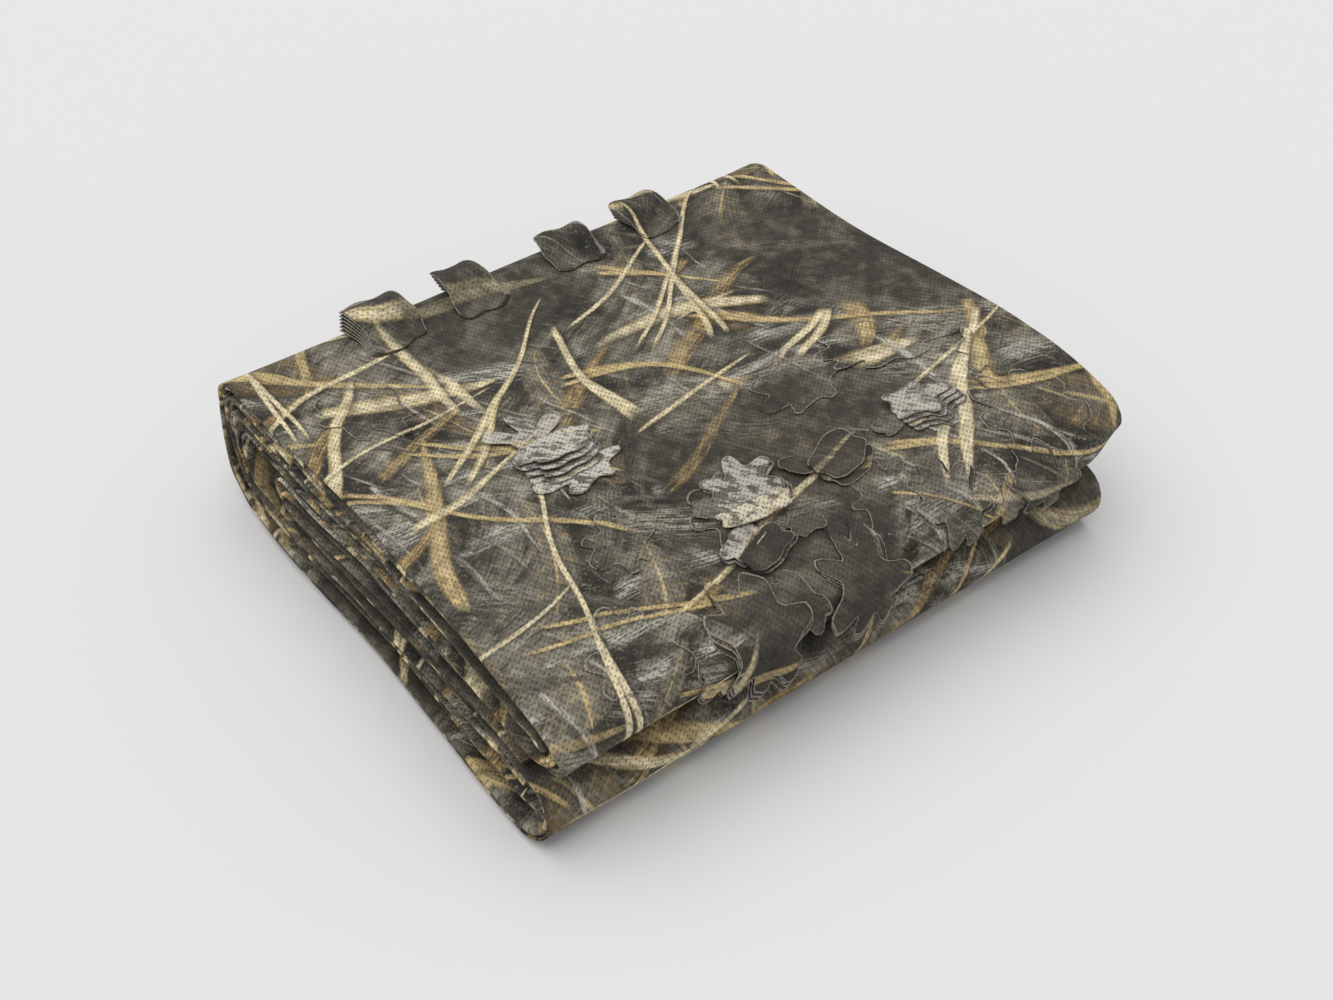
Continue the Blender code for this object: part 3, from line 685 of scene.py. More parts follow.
def flat_leaf(tree, leaf, finish):
    """The tree's leaf as a plain mesh: its points, how near each is to the rim, and its faces."""
    seed = bpy.data.meshes.new("leaf_seed")
    thing = bpy.data.objects.new("leaf_seed", seed)
    bpy.context.scene.collection.objects.link(thing)
    nodes = thing.modifiers.new("leaf", "NODES")
    nodes.node_group = tree
    values = {
        "Length": leaf["length"] * MM,
        "Width": leaf["width"] * MM,
        "Lobes": leaf["lobes"],
        "Lobe Depth": leaf["depth"],
        "Squareness": leaf["square"],
        "Seed": leaf["seed"],
        "Finish": finish,
    }
    for item in tree.interface.items_tree:
        if item.in_out == "INPUT" and item.name in values:
            nodes[item.identifier] = values[item.name]
    ready = thing.evaluated_get(bpy.context.evaluated_depsgraph_get())
    mesh = bpy.data.meshes.new_from_object(ready)
    thing.modifiers.remove(nodes)
    points = np.array([vert.co for vert in mesh.vertices])
    rim = np.array([value.value for value in mesh.attributes["rim"].data])
    faces = [tuple(face.vertices) for face in mesh.polygons]
    bpy.data.objects.remove(thing)
    bpy.data.meshes.remove(seed)
    bpy.data.meshes.remove(mesh)
    return points, rim, faces


class OuterFace:
    """The packet's outer face over the spine, the top and the upper nose, measured round it."""

    def __init__(self, strip):
        first = strip.rows_of("spine 1")[0]
        nose = strip.rows_of("upper front 1 6")
        last = (nose[0] + nose[1]) // 2 + 1
        rows = slice(first, last)
        out = -FLAT_OFFSETS[0]
        self.normal_y, self.normal_z = -strip.normal_y[rows], -strip.normal_z[rows]
        self.y = strip.y[rows] + out * self.normal_y
        self.z = strip.z[rows] + out * self.normal_z
        steps = np.hypot(np.diff(self.y), np.diff(self.z))
        self.round = np.concatenate([[0.0], np.cumsum(steps)])
        self.round -= self.round[nose[0] - first]
        self.strip_along_at_brink = strip.along[nose[0]]

    def point(self, distance, lift):
        """The place so far round from the brink, lifted off the face. Past its end it hangs down."""
        y = np.interp(distance, self.round, self.y)
        z = np.interp(distance, self.round, self.z)
        normal_y = np.interp(distance, self.round, self.normal_y)
        normal_z = np.interp(distance, self.round, self.normal_z)
        size = np.hypot(normal_y, normal_z)
        past = np.maximum(distance - self.round[-1], 0.0)
        return y + normal_y / size * lift, z + normal_z / size * lift - past


def laid_leaf(points, rim, leaf, face, ply):
    """A flat leaf's points where they lie on the packet, and their places on the print."""
    turn = math.radians(leaf["turn"])
    along, aside = points[:, 0], points[:, 1]
    x = leaf["x"] * MM + along * math.cos(turn) - aside * math.sin(turn) + ply * leaf["slip_x"] * MM
    distance = leaf["round"] * MM - along * math.sin(turn) - aside * math.cos(turn)
    distance = distance + ply * leaf["slip_round"] * MM
    share = along / (leaf["length"] * MM) + 0.5
    side = aside / (leaf["width"] * MM)
    angle = np.arctan2(side, share - 0.5)
    rise = leaf["low"] + (leaf["high"] - leaf["low"]) * smooth(*LEAF_RISE, share)
    curl = np.sin(LEAF_CURLS * angle + leaf["seed"] * 2 + PLY_TURN * ply)
    curl = leaf["curl"] * rim**4 * (0.5 + 0.5 * curl)
    wave = LEAF_WAVE * np.minimum(rise, LEAF_WAVE_HIGHEST) * rim
    wave = wave * np.sin(LEAF_WAVE_BEATS[0] * side + LEAF_WAVE_BEATS[1] * share + leaf["seed"])
    lower = max(1 - leaf["step"] * ply / max(leaf["low"], leaf["high"]), 0.0)
    lift = np.maximum((rise + wave) * lower + curl, 0.0) + PLY_LIFT * (leaf["plies"] - 1 - ply)
    lift = LEAF_CLEARANCE + lift * MM
    y, z = face.point(distance, lift)
    on_print = np.stack([CUT_EDGE_A - x, face.strip_along_at_brink + distance], axis=-1)
    return settle(x, y, z), on_print + PLY_ON_PRINT * ply


def under_leaf(points, rim, leaf, ply):
    """How deep in the shade of the ply above it each point of a lower ply is."""
    if not ply:
        return np.zeros(len(points))
    turn = math.radians(leaf["turn"])
    slip = complex(leaf["slip_x"], -leaf["slip_round"]) * MM * complex(math.cos(turn), -math.sin(turn))
    edge = rim > RIM
    order = np.argsort(np.arctan2(points[edge, 1], points[edge, 0]))
    angles = np.arctan2(points[edge, 1], points[edge, 0])[order]
    reach = np.hypot(points[edge, 0], points[edge, 1])[order]
    moved_x, moved_y = points[:, 0] + slip.real, points[:, 1] + slip.imag
    limit = np.interp(np.arctan2(moved_y, moved_x), angles, reach, period=math.tau)
    return smooth(*PLY_SHADE, np.hypot(moved_x, moved_y) - limit)


def leaf_flaps(strip, finish):
    """All the leaves as one mesh of thin plies."""
    tree = leaf_tree()
    face = OuterFace(strip)
    points, faces, places, start = [], [], [], 0
    values = {"rim": [], "shade": [], "tone": []}
    for row in LEAF_ROWS:
        leaf = dict(zip(LEAF_COLUMNS, row))
        flat, rim, leaf_faces = flat_leaf(tree, leaf, finish)
        cut = rim * smooth(*LEAF_STALK, flat[:, 0] / (leaf["length"] * MM) + 0.5)
        for ply in range(leaf["plies"]):
            laid, on_print = laid_leaf(flat, rim, leaf, face, ply)
            points.append(laid)
            places.append(on_print)
            values["rim"].append(cut)
            values["shade"].append(under_leaf(flat, rim, leaf, ply))
            values["tone"].append(np.tile(TONES[leaf["tone"]], (len(rim), 1)))
            faces += [tuple(corner + start for corner in corners) for corners in leaf_faces]
            start += len(flat)
    mesh = bpy.data.meshes.new("leaf_flaps")
    mesh.from_pydata(np.concatenate(points).tolist(), [], faces)
    mesh.update()
    mesh.shade_smooth()
    flaps = bpy.data.objects.new("leaf_flaps", mesh)
    bpy.context.scene.collection.objects.link(flaps)
    corners = np.array([loop.vertex_index for loop in mesh.loops])
    set_uv(flaps, "print", np.concatenate(places)[corners])
    for name, parts in values.items():
        kind, key = ("FLOAT_COLOR", "color") if name == "tone" else ("FLOAT", "value")
        attribute = mesh.attributes.new(name, kind, "POINT")
        attribute.data.foreach_set(key, np.concatenate(parts).astype(np.float32).ravel())
    skin = flaps.modifiers.new("skin", "SOLIDIFY")
    skin.thickness = LEAF_SKIN
    skin.offset = 1.0
    return flaps


# Finishes


def colour(value):
    return (*value, 1.0)


def link_or_set(tree, socket, value):
    if isinstance(value, bpy.types.NodeSocket):
        tree.links.new(value, socket)
    elif isinstance(value, tuple) and len(value) == 3 and socket.type == "RGBA":
        socket.default_value = colour(value)
    else:
        socket.default_value = value


def soft_step(tree, value, low, high):
    """0 below low and 1 above high. low may be the larger."""
    node = tree.nodes.new("ShaderNodeMapRange")
    node.interpolation_type = "SMOOTHSTEP"
    flipped = low > high
    link_or_set(tree, node.inputs["Value"], value)
    node.inputs["From Min"].default_value = min(low, high)
    node.inputs["From Max"].default_value = max(low, high)
    node.inputs["To Min"].default_value = 1.0 if flipped else 0.0
    node.inputs["To Max"].default_value = 0.0 if flipped else 1.0
    return node.outputs["Result"]


def blend_colours(tree, share, under, over, kind="MIX"):
    node = tree.nodes.new("ShaderNodeMix")
    node.data_type = "RGBA"
    node.blend_type = kind
    link_or_set(tree, node.inputs[0], share)
    link_or_set(tree, node.inputs[6], under)
    link_or_set(tree, node.inputs[7], over)
    return node.outputs[2]


def noise(tree, place, scale, detail=2.0, rough=0.5, stretch=None, turn=0.0, kind="Fac"):
    """Soft noise on the print, scale in repeats a metre, drawn out by stretch before it is turned."""
    if stretch:
        mapping = tree.nodes.new("ShaderNodeMapping")
        mapping.vector_type = "TEXTURE"
        mapping.inputs["Rotation"].default_value = (0.0, 0.0, math.radians(turn))
        mapping.inputs["Scale"].default_value = (stretch[0], stretch[1], 1.0)
        tree.links.new(place, mapping.inputs["Vector"])
        place = mapping.outputs[0]
    node = tree.nodes.new("ShaderNodeTexNoise")
    node.noise_dimensions = "2D"
    node.inputs["Scale"].default_value = scale
    node.inputs["Detail"].default_value = detail
    node.inputs["Roughness"].default_value = rough
    tree.links.new(place, node.inputs["Vector"])
    return node.outputs[kind]


def new_group(name, inputs, outputs):
    """A shader node group: its tree, its inputs by name and its output node."""
    tree = bpy.data.node_groups.new(name, "ShaderNodeTree")
    for label, kind, value in inputs:
        socket = tree.interface.new_socket(name=label, in_out="INPUT", socket_type=kind)
        if value is not None:
            socket.default_value = value
    for label, kind in outputs:
        tree.interface.new_socket(name=label, in_out="OUTPUT", socket_type=kind)
    given = tree.nodes.new("NodeGroupInput").outputs
    return tree, given, tree.nodes.new("NodeGroupOutput").inputs


# A stroke strays from its cell's middle and slopes and bows in shares of its cell's width, and is thick and
# long in shares of the sizes it is given, each the least of it and then what chance adds
STROKE_STRAY, STROKE_SLOPE, STROKE_BOW = 0.26, 0.6, (4.0, -0.4)
STROKE_HALF_WIDTH, STROKE_HALF_LENGTH = (0.25, 0.45), (0.25, 0.25)
STROKE_LEAN, STROKE_ROUGHNESS = 0.3, 1.1  # thicker towards one end, and ragged at its edges
STROKE_TIP = (1.0, 0.86)  # from its middle to its end, where it has faded out and where it is whole
STROKE_SHADE_FAR, STROKE_SHADE_NEAR = (3.4, 0.8), (0.0, 0.7)  # in half widths, to one side of it
ROW_SHIFT, SEED_SHIFT, SEED_STEP = 5.0, 7.31, 13.7  # how rows and seeds differ
OPEN_CROWD, THICKET_CROWD, CROWD_EDGE = 0.22, 1.35, 9.0  # how many strokes show, and how sharply they end
STREAKS = (60.0, 900.0, 1.0)  # fine streaks along and across a stroke, in repeats a metre


def stroke_field():
    """Scattered strokes for a print, such as straws, blades, leaves or twigs, one to a cell.

    Across is 0 on a stroke's middle and 1 at its edge, and Along runs from -1 to 1 over its length."""
    number = "NodeSocketFloat"
    inputs = [
        ("Place", "NodeSocketVector", None),
        ("Rough", number, 0.5),
        ("Thicket", number, 0.5),
        ("Turn", number, 0.0),
        ("Cell Length", number, 0.2),
        ("Cell Width", number, 0.05),
        ("Stroke Length", number, 0.9),
        ("Stroke Width", number, 0.005),
        ("Taper", number, 0.5),
        ("Softness", number, 0.2),
        ("Bow", number, 0.2),
        ("Fork", number, 0.0),
        ("Density", number, 0.6),
        ("Seed", number, 0.0),
    ]
    outputs = ["Mask", "Shade", "Across", "Along", "Pick", "Streak"]
    tree, given, result = new_group("stroke_field", inputs, [(name, number) for name in outputs])

    def sum_of(first, second):
        return calculate(tree, "ADD", first, second)

    def product(first, second):
        return calculate(tree, "MULTIPLY", first, second)

    def centred(value):
        return calculate(tree, "SUBTRACT", value, 0.5)

    turned = tree.nodes.new("ShaderNodeVectorRotate")
    turned.rotation_type = "Z_AXIS"
    tree.links.new(given["Place"], turned.inputs["Vector"])
    tree.links.new(given["Turn"], turned.inputs["Angle"])
    place = tree.nodes.new("ShaderNodeSeparateXYZ")
    tree.links.new(turned.outputs[0], place.inputs[0])

    row_place = calculate(tree, "DIVIDE", place.outputs["Y"], given["Cell Width"])
    row_place = sum_of(row_place, product(given["Seed"], SEED_SHIFT))
    row = calculate(tree, "FLOOR", row_place)
    high = centred(calculate(tree, "SUBTRACT", row_place, row))
    shift = tree.nodes.new("ShaderNodeTexWhiteNoise")
    shift.noise_dimensions = "1D"
    tree.links.new(calculate(tree, "MULTIPLY_ADD", given["Seed"], SEED_STEP, row), shift.inputs["W"])
    column_place = calculate(tree, "DIVIDE", place.outputs["X"], given["Cell Length"])
    column_place = sum_of(column_place, product(shift.outputs["Value"], ROW_SHIFT))
    column = calculate(tree, "FLOOR", column_place)
    far = centred(calculate(tree, "SUBTRACT", column_place, column))

    cell = tree.nodes.new("ShaderNodeCombineXYZ")
    tree.links.new(column, cell.inputs["X"])
    tree.links.new(row, cell.inputs["Y"])
    tree.links.new(given["Seed"], cell.inputs["Z"])
    chance = tree.nodes.new("ShaderNodeTexWhiteNoise")
    chance.noise_dimensions = "3D"
    tree.links.new(cell.outputs[0], chance.inputs["Vector"])
    parts = tree.nodes.new("ShaderNodeSeparateColor")
    tree.links.new(chance.outputs["Color"], parts.inputs[0])
    first, second, third = parts.outputs[0], parts.outputs[1], parts.outputs[2]

    start = product(centred(first), STROKE_STRAY)
    slope = product(product(centred(second), STROKE_SLOPE), far)
    bend = calculate(tree, "MULTIPLY_ADD", product(far, far), *STROKE_BOW)
    bow = product(product(centred(third), given["Bow"]), bend)
    middle = sum_of(sum_of(start, slope), bow)
    away = product(calculate(tree, "SUBTRACT", high, middle), given["Cell Width"])
    branch = product(calculate(tree, "MAXIMUM", far, 0.0), given["Fork"])
    forked = calculate(tree, "SUBTRACT", away, product(branch, given["Cell Width"]))
    closer = calculate(
        tree, "LESS_THAN", calculate(tree, "ABSOLUTE", forked), calculate(tree, "ABSOLUTE", away)
    )
    away = sum_of(away, product(calculate(tree, "SUBTRACT", forked, away), closer))

    least, more = STROKE_HALF_LENGTH
    half = product(given["Stroke Length"], calculate(tree, "MULTIPLY_ADD", third, more, least))
    along = calculate(tree, "DIVIDE", far, half)
    left = calculate(tree, "MAXIMUM", calculate(tree, "SUBTRACT", 1.0, product(along, along)), 0.0)
    taper = calculate(tree, "POWER", left, given["Taper"])
    taper = product(taper, calculate(tree, "MULTIPLY_ADD", along, STROKE_LEAN, 1.0))
    least, more = STROKE_HALF_WIDTH
    half_width = product(given["Stroke Width"], calculate(tree, "MULTIPLY_ADD", second, more, least))
    half_width = calculate(tree, "MAXIMUM", product(half_width, taper), 0.01 * MM)
    across = calculate(tree, "DIVIDE", away, half_width)
    rough = product(centred(given["Rough"]), STROKE_ROUGHNESS)
    ragged = sum_of(calculate(tree, "ABSOLUTE", across), rough)
    edge = tree.nodes.new("ShaderNodeMapRange")
    edge.interpolation_type = "SMOOTHSTEP"
    tree.links.new(ragged, edge.inputs["Value"])
    tree.links.new(sum_of(given["Softness"], 1.0), edge.inputs["From Min"])
    tree.links.new(calculate(tree, "SUBTRACT", 1.0, given["Softness"]), edge.inputs["From Max"])

    # Fewer strokes show in open places than in a thicket, and they fade out towards it
    crowd = calculate(tree, "MULTIPLY_ADD", given["Thicket"], THICKET_CROWD, OPEN_CROWD)
    crowd = product(given["Density"], crowd)
    there = product(calculate(tree, "SUBTRACT", crowd, chance.outputs["Value"]), CROWD_EDGE)
    there = calculate(tree, "MINIMUM", calculate(tree, "MAXIMUM", there, 0.0), 1.0)
    there = product(there, soft_step(tree, calculate(tree, "ABSOLUTE", along), *STROKE_TIP))
    tree.links.new(product(edge.outputs["Result"], there), result["Mask"])
    shade = soft_step(tree, across, *STROKE_SHADE_FAR)
    shade = product(shade, soft_step(tree, across, *STROKE_SHADE_NEAR))
    tree.links.new(product(shade, there), result["Shade"])
    tree.links.new(across, result["Across"])
    tree.links.new(along, result["Along"])
    tree.links.new(first, result["Pick"])

    drawn = tree.nodes.new("ShaderNodeVectorMath")
    drawn.operation = "MULTIPLY"
    drawn.inputs[1].default_value = STREAKS
    tree.links.new(turned.outputs[0], drawn.inputs[0])
    tree.links.new(noise(tree, drawn.outputs[0], 1.0, 1.0), result["Streak"])
    return tree


# The print's strokes from the lowest to the topmost: turn in degrees, cell length and width in mm, the
# share of its cell that a stroke fills, its width in mm, taper, softness, bow, fork, density, how much of
# it is brushed away in streaks, the colours at its edges and along its middle, its shadow's strength, how
# solid it is, and whether it has a leaf's veins
STROKE_COLUMNS = (
    "turn", "cell_length", "cell_width", "fill", "width", "taper", "softness", "bow", "fork", "density",
    "brushed", "edge", "middle", "shadow", "solid", "veins",
)  # fmt: skip
SHADOW = (0.030, 0.027, 0.022)
CHARCOAL = (0.062, 0.056, 0.045)
BARK = (0.140, 0.124, 0.094)
OLIVE = (0.235, 0.212, 0.158)
GREY = (0.400, 0.372, 0.295)
SILVER = (0.560, 0.540, 0.470)
RUST = (0.255, 0.170, 0.075)
TAN = (0.450, 0.310, 0.130)
STRAW = (0.600, 0.465, 0.230)
CREAM = (0.790, 0.690, 0.460)
STROKE_ROWS = [
    (38, 150, 52, 1.0, 40, 0.5, 0.6, 0.3, 0.0, 0.75, 0.0, CHARCOAL, SHADOW, 0.0, 0.9, False),
    (-50, 120, 40, 1.0, 26, 0.5, 0.5, 0.3, 0.0, 0.60, 0.3, SHADOW, SHADOW, 0.0, 0.8, False),
    (26, 120, 30, 1.0, 20, 0.5, 0.7, 0.5, 0.0, 0.62, 0.80, OLIVE, GREY, 0.2, 0.8, False),
    (-34, 100, 26, 1.0, 15, 0.5, 0.7, 0.5, 0.0, 0.48, 0.85, GREY, OLIVE, 0.3, 0.8, False),
    (8, 90, 24, 1.0, 12, 0.5, 0.6, 0.5, 0.0, 0.34, 0.85, GREY, SILVER, 0.5, 0.8, False),
    (64, 64, 14, 0.95, 2.2, 0.4, 0.5, 0.8, 0.0, 0.40, 0.5, OLIVE, GREY, 0.5, 0.8, False),
    (60, 84, 46, 0.95, 30, 0.6, 0.15, 0.3, 0.0, 0.34, 0.35, RUST, BARK, 0.8, 0.9, True),
    (-74, 70, 42, 0.95, 24, 0.6, 0.15, 0.3, 0.0, 0.26, 0.35, BARK, OLIVE, 0.8, 0.9, True),
    (-24, 150, 40, 1.0, 9, 0.5, 0.3, 0.5, 0.3, 0.46, 0.7, RUST, TAN, 0.7, 0.9, False),
    (52, 130, 44, 0.95, 3.6, 0.3, 0.3, 0.5, 0.9, 0.50, 0.2, CHARCOAL, BARK, 0.2, 0.95, False),
    (-62, 170, 56, 1.0, 8, 0.5, 0.3, 0.4, 0.0, 0.36, 0.35, TAN, STRAW, 0.6, 0.95, False),
    (14, 180, 60, 1.0, 9, 0.5, 0.3, 0.4, 0.0, 0.34, 0.35, STRAW, CREAM, 0.6, 1.0, False),
    (80, 74, 28, 0.95, 3.0, 0.3, 0.5, 0.5, 0.0, 0.24, 0.7, GREY, SILVER, 0.4, 0.8, False),
    (36, 190, 50, 0.98, 5.0, 0.3, 0.3, 0.3, 0.5, 0.54, 0.25, TAN, STRAW, 0.6, 1.0, False),
    (-44, 280, 72, 1.0, 5.6, 0.25, 0.3, 0.25, 0.5, 0.56, 0.1, STRAW, CREAM, 0.6, 1.0, False),
    (-14, 210, 56, 0.98, 2.4, 0.25, 0.4, 0.25, 0.0, 0.5, 0.2, STRAW, CREAM, 0.4, 0.95, False),
    (-80, 260, 80, 1.0, 4.8, 0.25, 0.3, 0.25, 0.4, 0.54, 0.1, STRAW, CREAM, 0.6, 1.0, False),
]
STROKE_SEED = 23.0
VEIN_COUNT, VEIN_SLANT, VEIN_RANGE, VEIN_STRENGTH = 6.0, 1.3, (0.75, 1.0), 0.45
MIDRIB = (0.10, 0.03)  # its edge and where it is solid, in half widths of the leaf
# What turns a stroke from its edge's colour to its middle's: how far in, its streaks and chance
TONE_INWARD, TONE_STREAK, TONE_PICK, STROKE_TONE_RANGE = 0.55, 1.1, 0.4, (0.45, 1.20)
BRUSH_ROUGHNESS, BRUSH_HAIRS = 0.8, (0.80, 1.0)  # where a brushed stroke's hairs begin and are solid

# The print's noises, in repeats a metre, and the values between which each turns from one tone to the next
BENT, SWEPT = (9.0, 0.035), (5.0, 0.10)  # how often the print's lines bend, and how far in metres
THICKET_SCALE, THICKET_RANGE, THICKET_SHIFT, THICKET_TONE = 6.5, (0.38, 0.58), (1.3, 0.2), 0.9
BLOTCH_SCALE, BLOTCH_RANGE = 36.0, (0.45, 0.64)
BARK_SCALE, BARK_TURN, BARK_DARK_RANGE, BARK_PALE_RANGE = 90.0, 30, (0.40, 0.54), (0.53, 0.66)
GRAIN_SCALE = 700.0
FIBRE_SCALE, FIBRE_TURN = 260.0, -36
MOTTLE_SCALE, MOTTLE_RANGE, MOTTLE_TONES = 150.0, (0.32, 0.68), (0.78, 1.22)
FLECK_RANGE, OPEN_FLECKS, THICKET_FLECKS = (0.54, 0.66), 0.06, 0.36
PORE_RANGE, PORES = (0.46, 0.34), 0.32


def veined(tree, node, tone):
    """A dead leaf's midrib and side veins over its colour."""
    beside = calculate(tree, "ABSOLUTE", node.outputs["Across"])
    slanted = calculate(tree, "MULTIPLY_ADD", beside, -VEIN_SLANT / VEIN_COUNT, node.outputs["Along"])
    beat = calculate(tree, "SINE", calculate(tree, "MULTIPLY", slanted, VEIN_COUNT * math.pi))
    veins = calculate(tree, "MULTIPLY", soft_step(tree, beat, *VEIN_RANGE), VEIN_STRENGTH)
    tone = blend_colours(tree, veins, tone, TAN)
    return blend_colours(tree, soft_step(tree, beside, *MIDRIB), tone, STRAW)


def add_strokes(tree, strokes, made, place, rough, thicket, stroke, seed):
    """One row of strokes with their shadows, over the colours made so far."""
    node = tree.nodes.new("ShaderNodeGroup")
    node.node_tree = strokes
    tree.links.new(place, node.inputs["Place"])
    tree.links.new(rough, node.inputs["Rough"])
    tree.links.new(thicket, node.inputs["Thicket"])
    sizes = {
        "Turn": math.radians(stroke["turn"]),
        "Cell Length": stroke["cell_length"] * MM,
        "Cell Width": stroke["cell_width"] * MM,
        "Stroke Length": stroke["fill"],
        "Stroke Width": stroke["width"] * MM,
        "Taper": stroke["taper"],
        "Softness": stroke["softness"],
        "Bow": stroke["bow"],
        "Fork": stroke["fork"],
        "Density": stroke["density"],
        "Seed": seed,
    }
    for name, value in sizes.items():
        node.inputs[name].default_value = value
    if stroke["shadow"]:
        shade = calculate(tree, "MULTIPLY", node.outputs["Shade"], stroke["shadow"])
        made = blend_colours(tree, shade, made, SHADOW)
    inward = calculate(tree, "SUBTRACT", 1.0, calculate(tree, "ABSOLUTE", node.outputs["Across"]))
    side = calculate(tree, "MULTIPLY", node.outputs["Streak"], TONE_STREAK)
    side = calculate(tree, "MULTIPLY_ADD", inward, TONE_INWARD, side)
    side = calculate(tree, "MULTIPLY_ADD", node.outputs["Pick"], TONE_PICK, side)
    share = soft_step(tree, side, *STROKE_TONE_RANGE)
    tone = blend_colours(tree, share, stroke["edge"], stroke["middle"])
    if stroke["veins"]:
        tone = veined(tree, node, tone)
    solid = calculate(tree, "MULTIPLY", node.outputs["Mask"], stroke["solid"])
    if stroke["brushed"]:
        bristles = calculate(tree, "MULTIPLY_ADD", rough, BRUSH_ROUGHNESS, node.outputs["Streak"])
        left = soft_step(tree, bristles, *BRUSH_HAIRS)
        left = calculate(tree, "MULTIPLY_ADD", left, stroke["brushed"], 1.0 - stroke["brushed"])
        solid = calculate(tree, "MULTIPLY", solid, left)
    return blend_colours(tree, solid, made, tone)


def camouflage_print(strokes):
    """A generic camouflage print: a bark-like ground with dead leaves, blades, straws and twigs."""
    tree, given, result = new_group(
        "camouflage_print",
        [("Place", "NodeSocketVector", None)],
        [("Colour", "NodeSocketColor"), ("Fibre", "NodeSocketFloat")],
    )
    place = given["Place"]

    def bent_by(scale, reach):
        drift = noise(tree, place, scale, 1.0, kind="Color")
        bend = tree.nodes.new("ShaderNodeVectorMath")
        bend.operation = "MULTIPLY_ADD"
        bend.inputs[1].default_value = (reach, reach, 0.0)
        tree.links.new(drift, bend.inputs[0])
        tree.links.new(place, bend.inputs[2])
        return bend.outputs[0]

    bent, swept = bent_by(*BENT), bent_by(*SWEPT)
    shifted = tree.nodes.new("ShaderNodeVectorMath")
    shifted.operation = "ADD"
    shifted.inputs[1].default_value = (*THICKET_SHIFT, 0.0)
    tree.links.new(place, shifted.inputs[0])
    thicket = soft_step(tree, noise(tree, shifted.outputs[0], THICKET_SCALE, 1.0), *THICKET_RANGE)
    blotches = noise(tree, bent, BLOTCH_SCALE, 5.0, 0.65)
    bark = noise(tree, swept, BARK_SCALE, 5.0, 0.72, stretch=(4.0, 1.0), turn=BARK_TURN)
    grain = noise(tree, place, GRAIN_SCALE, 3.0, 0.65)
    fibre = noise(tree, bent, FIBRE_SCALE, 3.0, 0.65, stretch=(3.0, 1.0), turn=FIBRE_TURN)

    open_ground = blend_colours(tree, soft_step(tree, blotches, *BLOTCH_RANGE), CHARCOAL, BARK)
    grassy = blend_colours(tree, soft_step(tree, bark, *BARK_DARK_RANGE), CHARCOAL, OLIVE)
    grassy = blend_colours(tree, soft_step(tree, bark, *BARK_PALE_RANGE), grassy, GREY)
    made = blend_colours(tree, calculate(tree, "MULTIPLY", thicket, THICKET_TONE), open_ground, grassy)

    rough = calculate(tree, "MULTIPLY_ADD", grain, 0.5, calculate(tree, "MULTIPLY", fibre, 0.5))
    for number, row in enumerate(STROKE_ROWS):
        stroke = dict(zip(STROKE_COLUMNS, row))
        over = swept if number % 2 else bent
        made = add_strokes(tree, strokes, made, over, rough, thicket, stroke, STROKE_SEED + number)
    flecks = calculate(tree, "MULTIPLY_ADD", thicket, THICKET_FLECKS, OPEN_FLECKS)
    flecks = calculate(tree, "MULTIPLY", soft_step(tree, rough, *FLECK_RANGE), flecks)
    made = blend_colours(tree, flecks, made, GREY)
    pores = calculate(tree, "MULTIPLY", soft_step(tree, rough, *PORE_RANGE), PORES)
    made = blend_colours(tree, pores, made, SHADOW)
    mottle = soft_step(tree, noise(tree, place, MOTTLE_SCALE, 3.0, 0.6), *MOTTLE_RANGE)
    darker, paler = MOTTLE_TONES
    worn = blend_colours(tree, mottle, (darker, darker, darker), (paler, paler, paler))
    made = blend_colours(tree, 1.0, made, worn, "MULTIPLY")
    tree.links.new(made, result["Colour"])
    tree.links.new(fibre, result["Fibre"])
    return tree


# The bonded points' two sets of rows: how often each comes in a metre across and along the panel
EMBOSS_ROWS = ((-332.0, 374.0), (282.0, 166.0))
PIT_RANGE = (0.35, 1.5)  # the rows' summed waves where a pit begins and is deepest
FUZZ_SCALE, FUZZ_HEIGHT = 1400.0, 0.35  # the fibres' fuzz, in repeats a metre and in depths of a pit


def point_bonds():
    """The non-woven's bonded points: small pits in slanting rows. Height is less in a pit."""
    tree, given, result = new_group(
        "point_bonds",
        [("Place", "NodeSocketVector", None)],
        [("Height", "NodeSocketFloat"), ("Pit", "NodeSocketFloat")],
    )
    waves = []
    for rate in EMBOSS_ROWS:
        row = tree.nodes.new("ShaderNodeVectorMath")
        row.operation = "DOT_PRODUCT"
        row.inputs[1].default_value = (math.tau * rate[0], math.tau * rate[1], 0.0)
        tree.links.new(given["Place"], row.inputs[0])
        waves.append(calculate(tree, "COSINE", row.outputs["Value"]))
    waves = calculate(tree, "ADD", *waves)
    pit = soft_step(tree, waves, *PIT_RANGE)
    fuzz = noise(tree, given["Place"], FUZZ_SCALE, 2.0, 0.6)
    height = calculate(tree, "MULTIPLY_ADD", fuzz, FUZZ_HEIGHT, calculate(tree, "MULTIPLY", pit, -1.0))
    tree.links.new(height, result["Height"])
    tree.links.new(pit, result["Pit"])
    return tree


CLOTH_ROUGHNESS, CLOTH_SHEEN = 0.88, 0.25
BUMP_STRENGTH, BUMP_DEPTH = 0.55, 0.22 * MM
PIT_PAINTED_SHADE = 0.48
INSIDE_PAINTED_SHADE = 0.8  # of the cloth that lies inside the packet, in the shade of the folds
# A leaf's own tone shows in patches, in repeats a metre and as a share beside the print's fibres. Then come
# the values between which it turns full, and its share between the patches.
TONE_PATCHES, TONE_PATCH_SHARE = 150.0, 0.8
TONE_RANGE, TONE_BETWEEN = (0.78, 0.94), 0.2
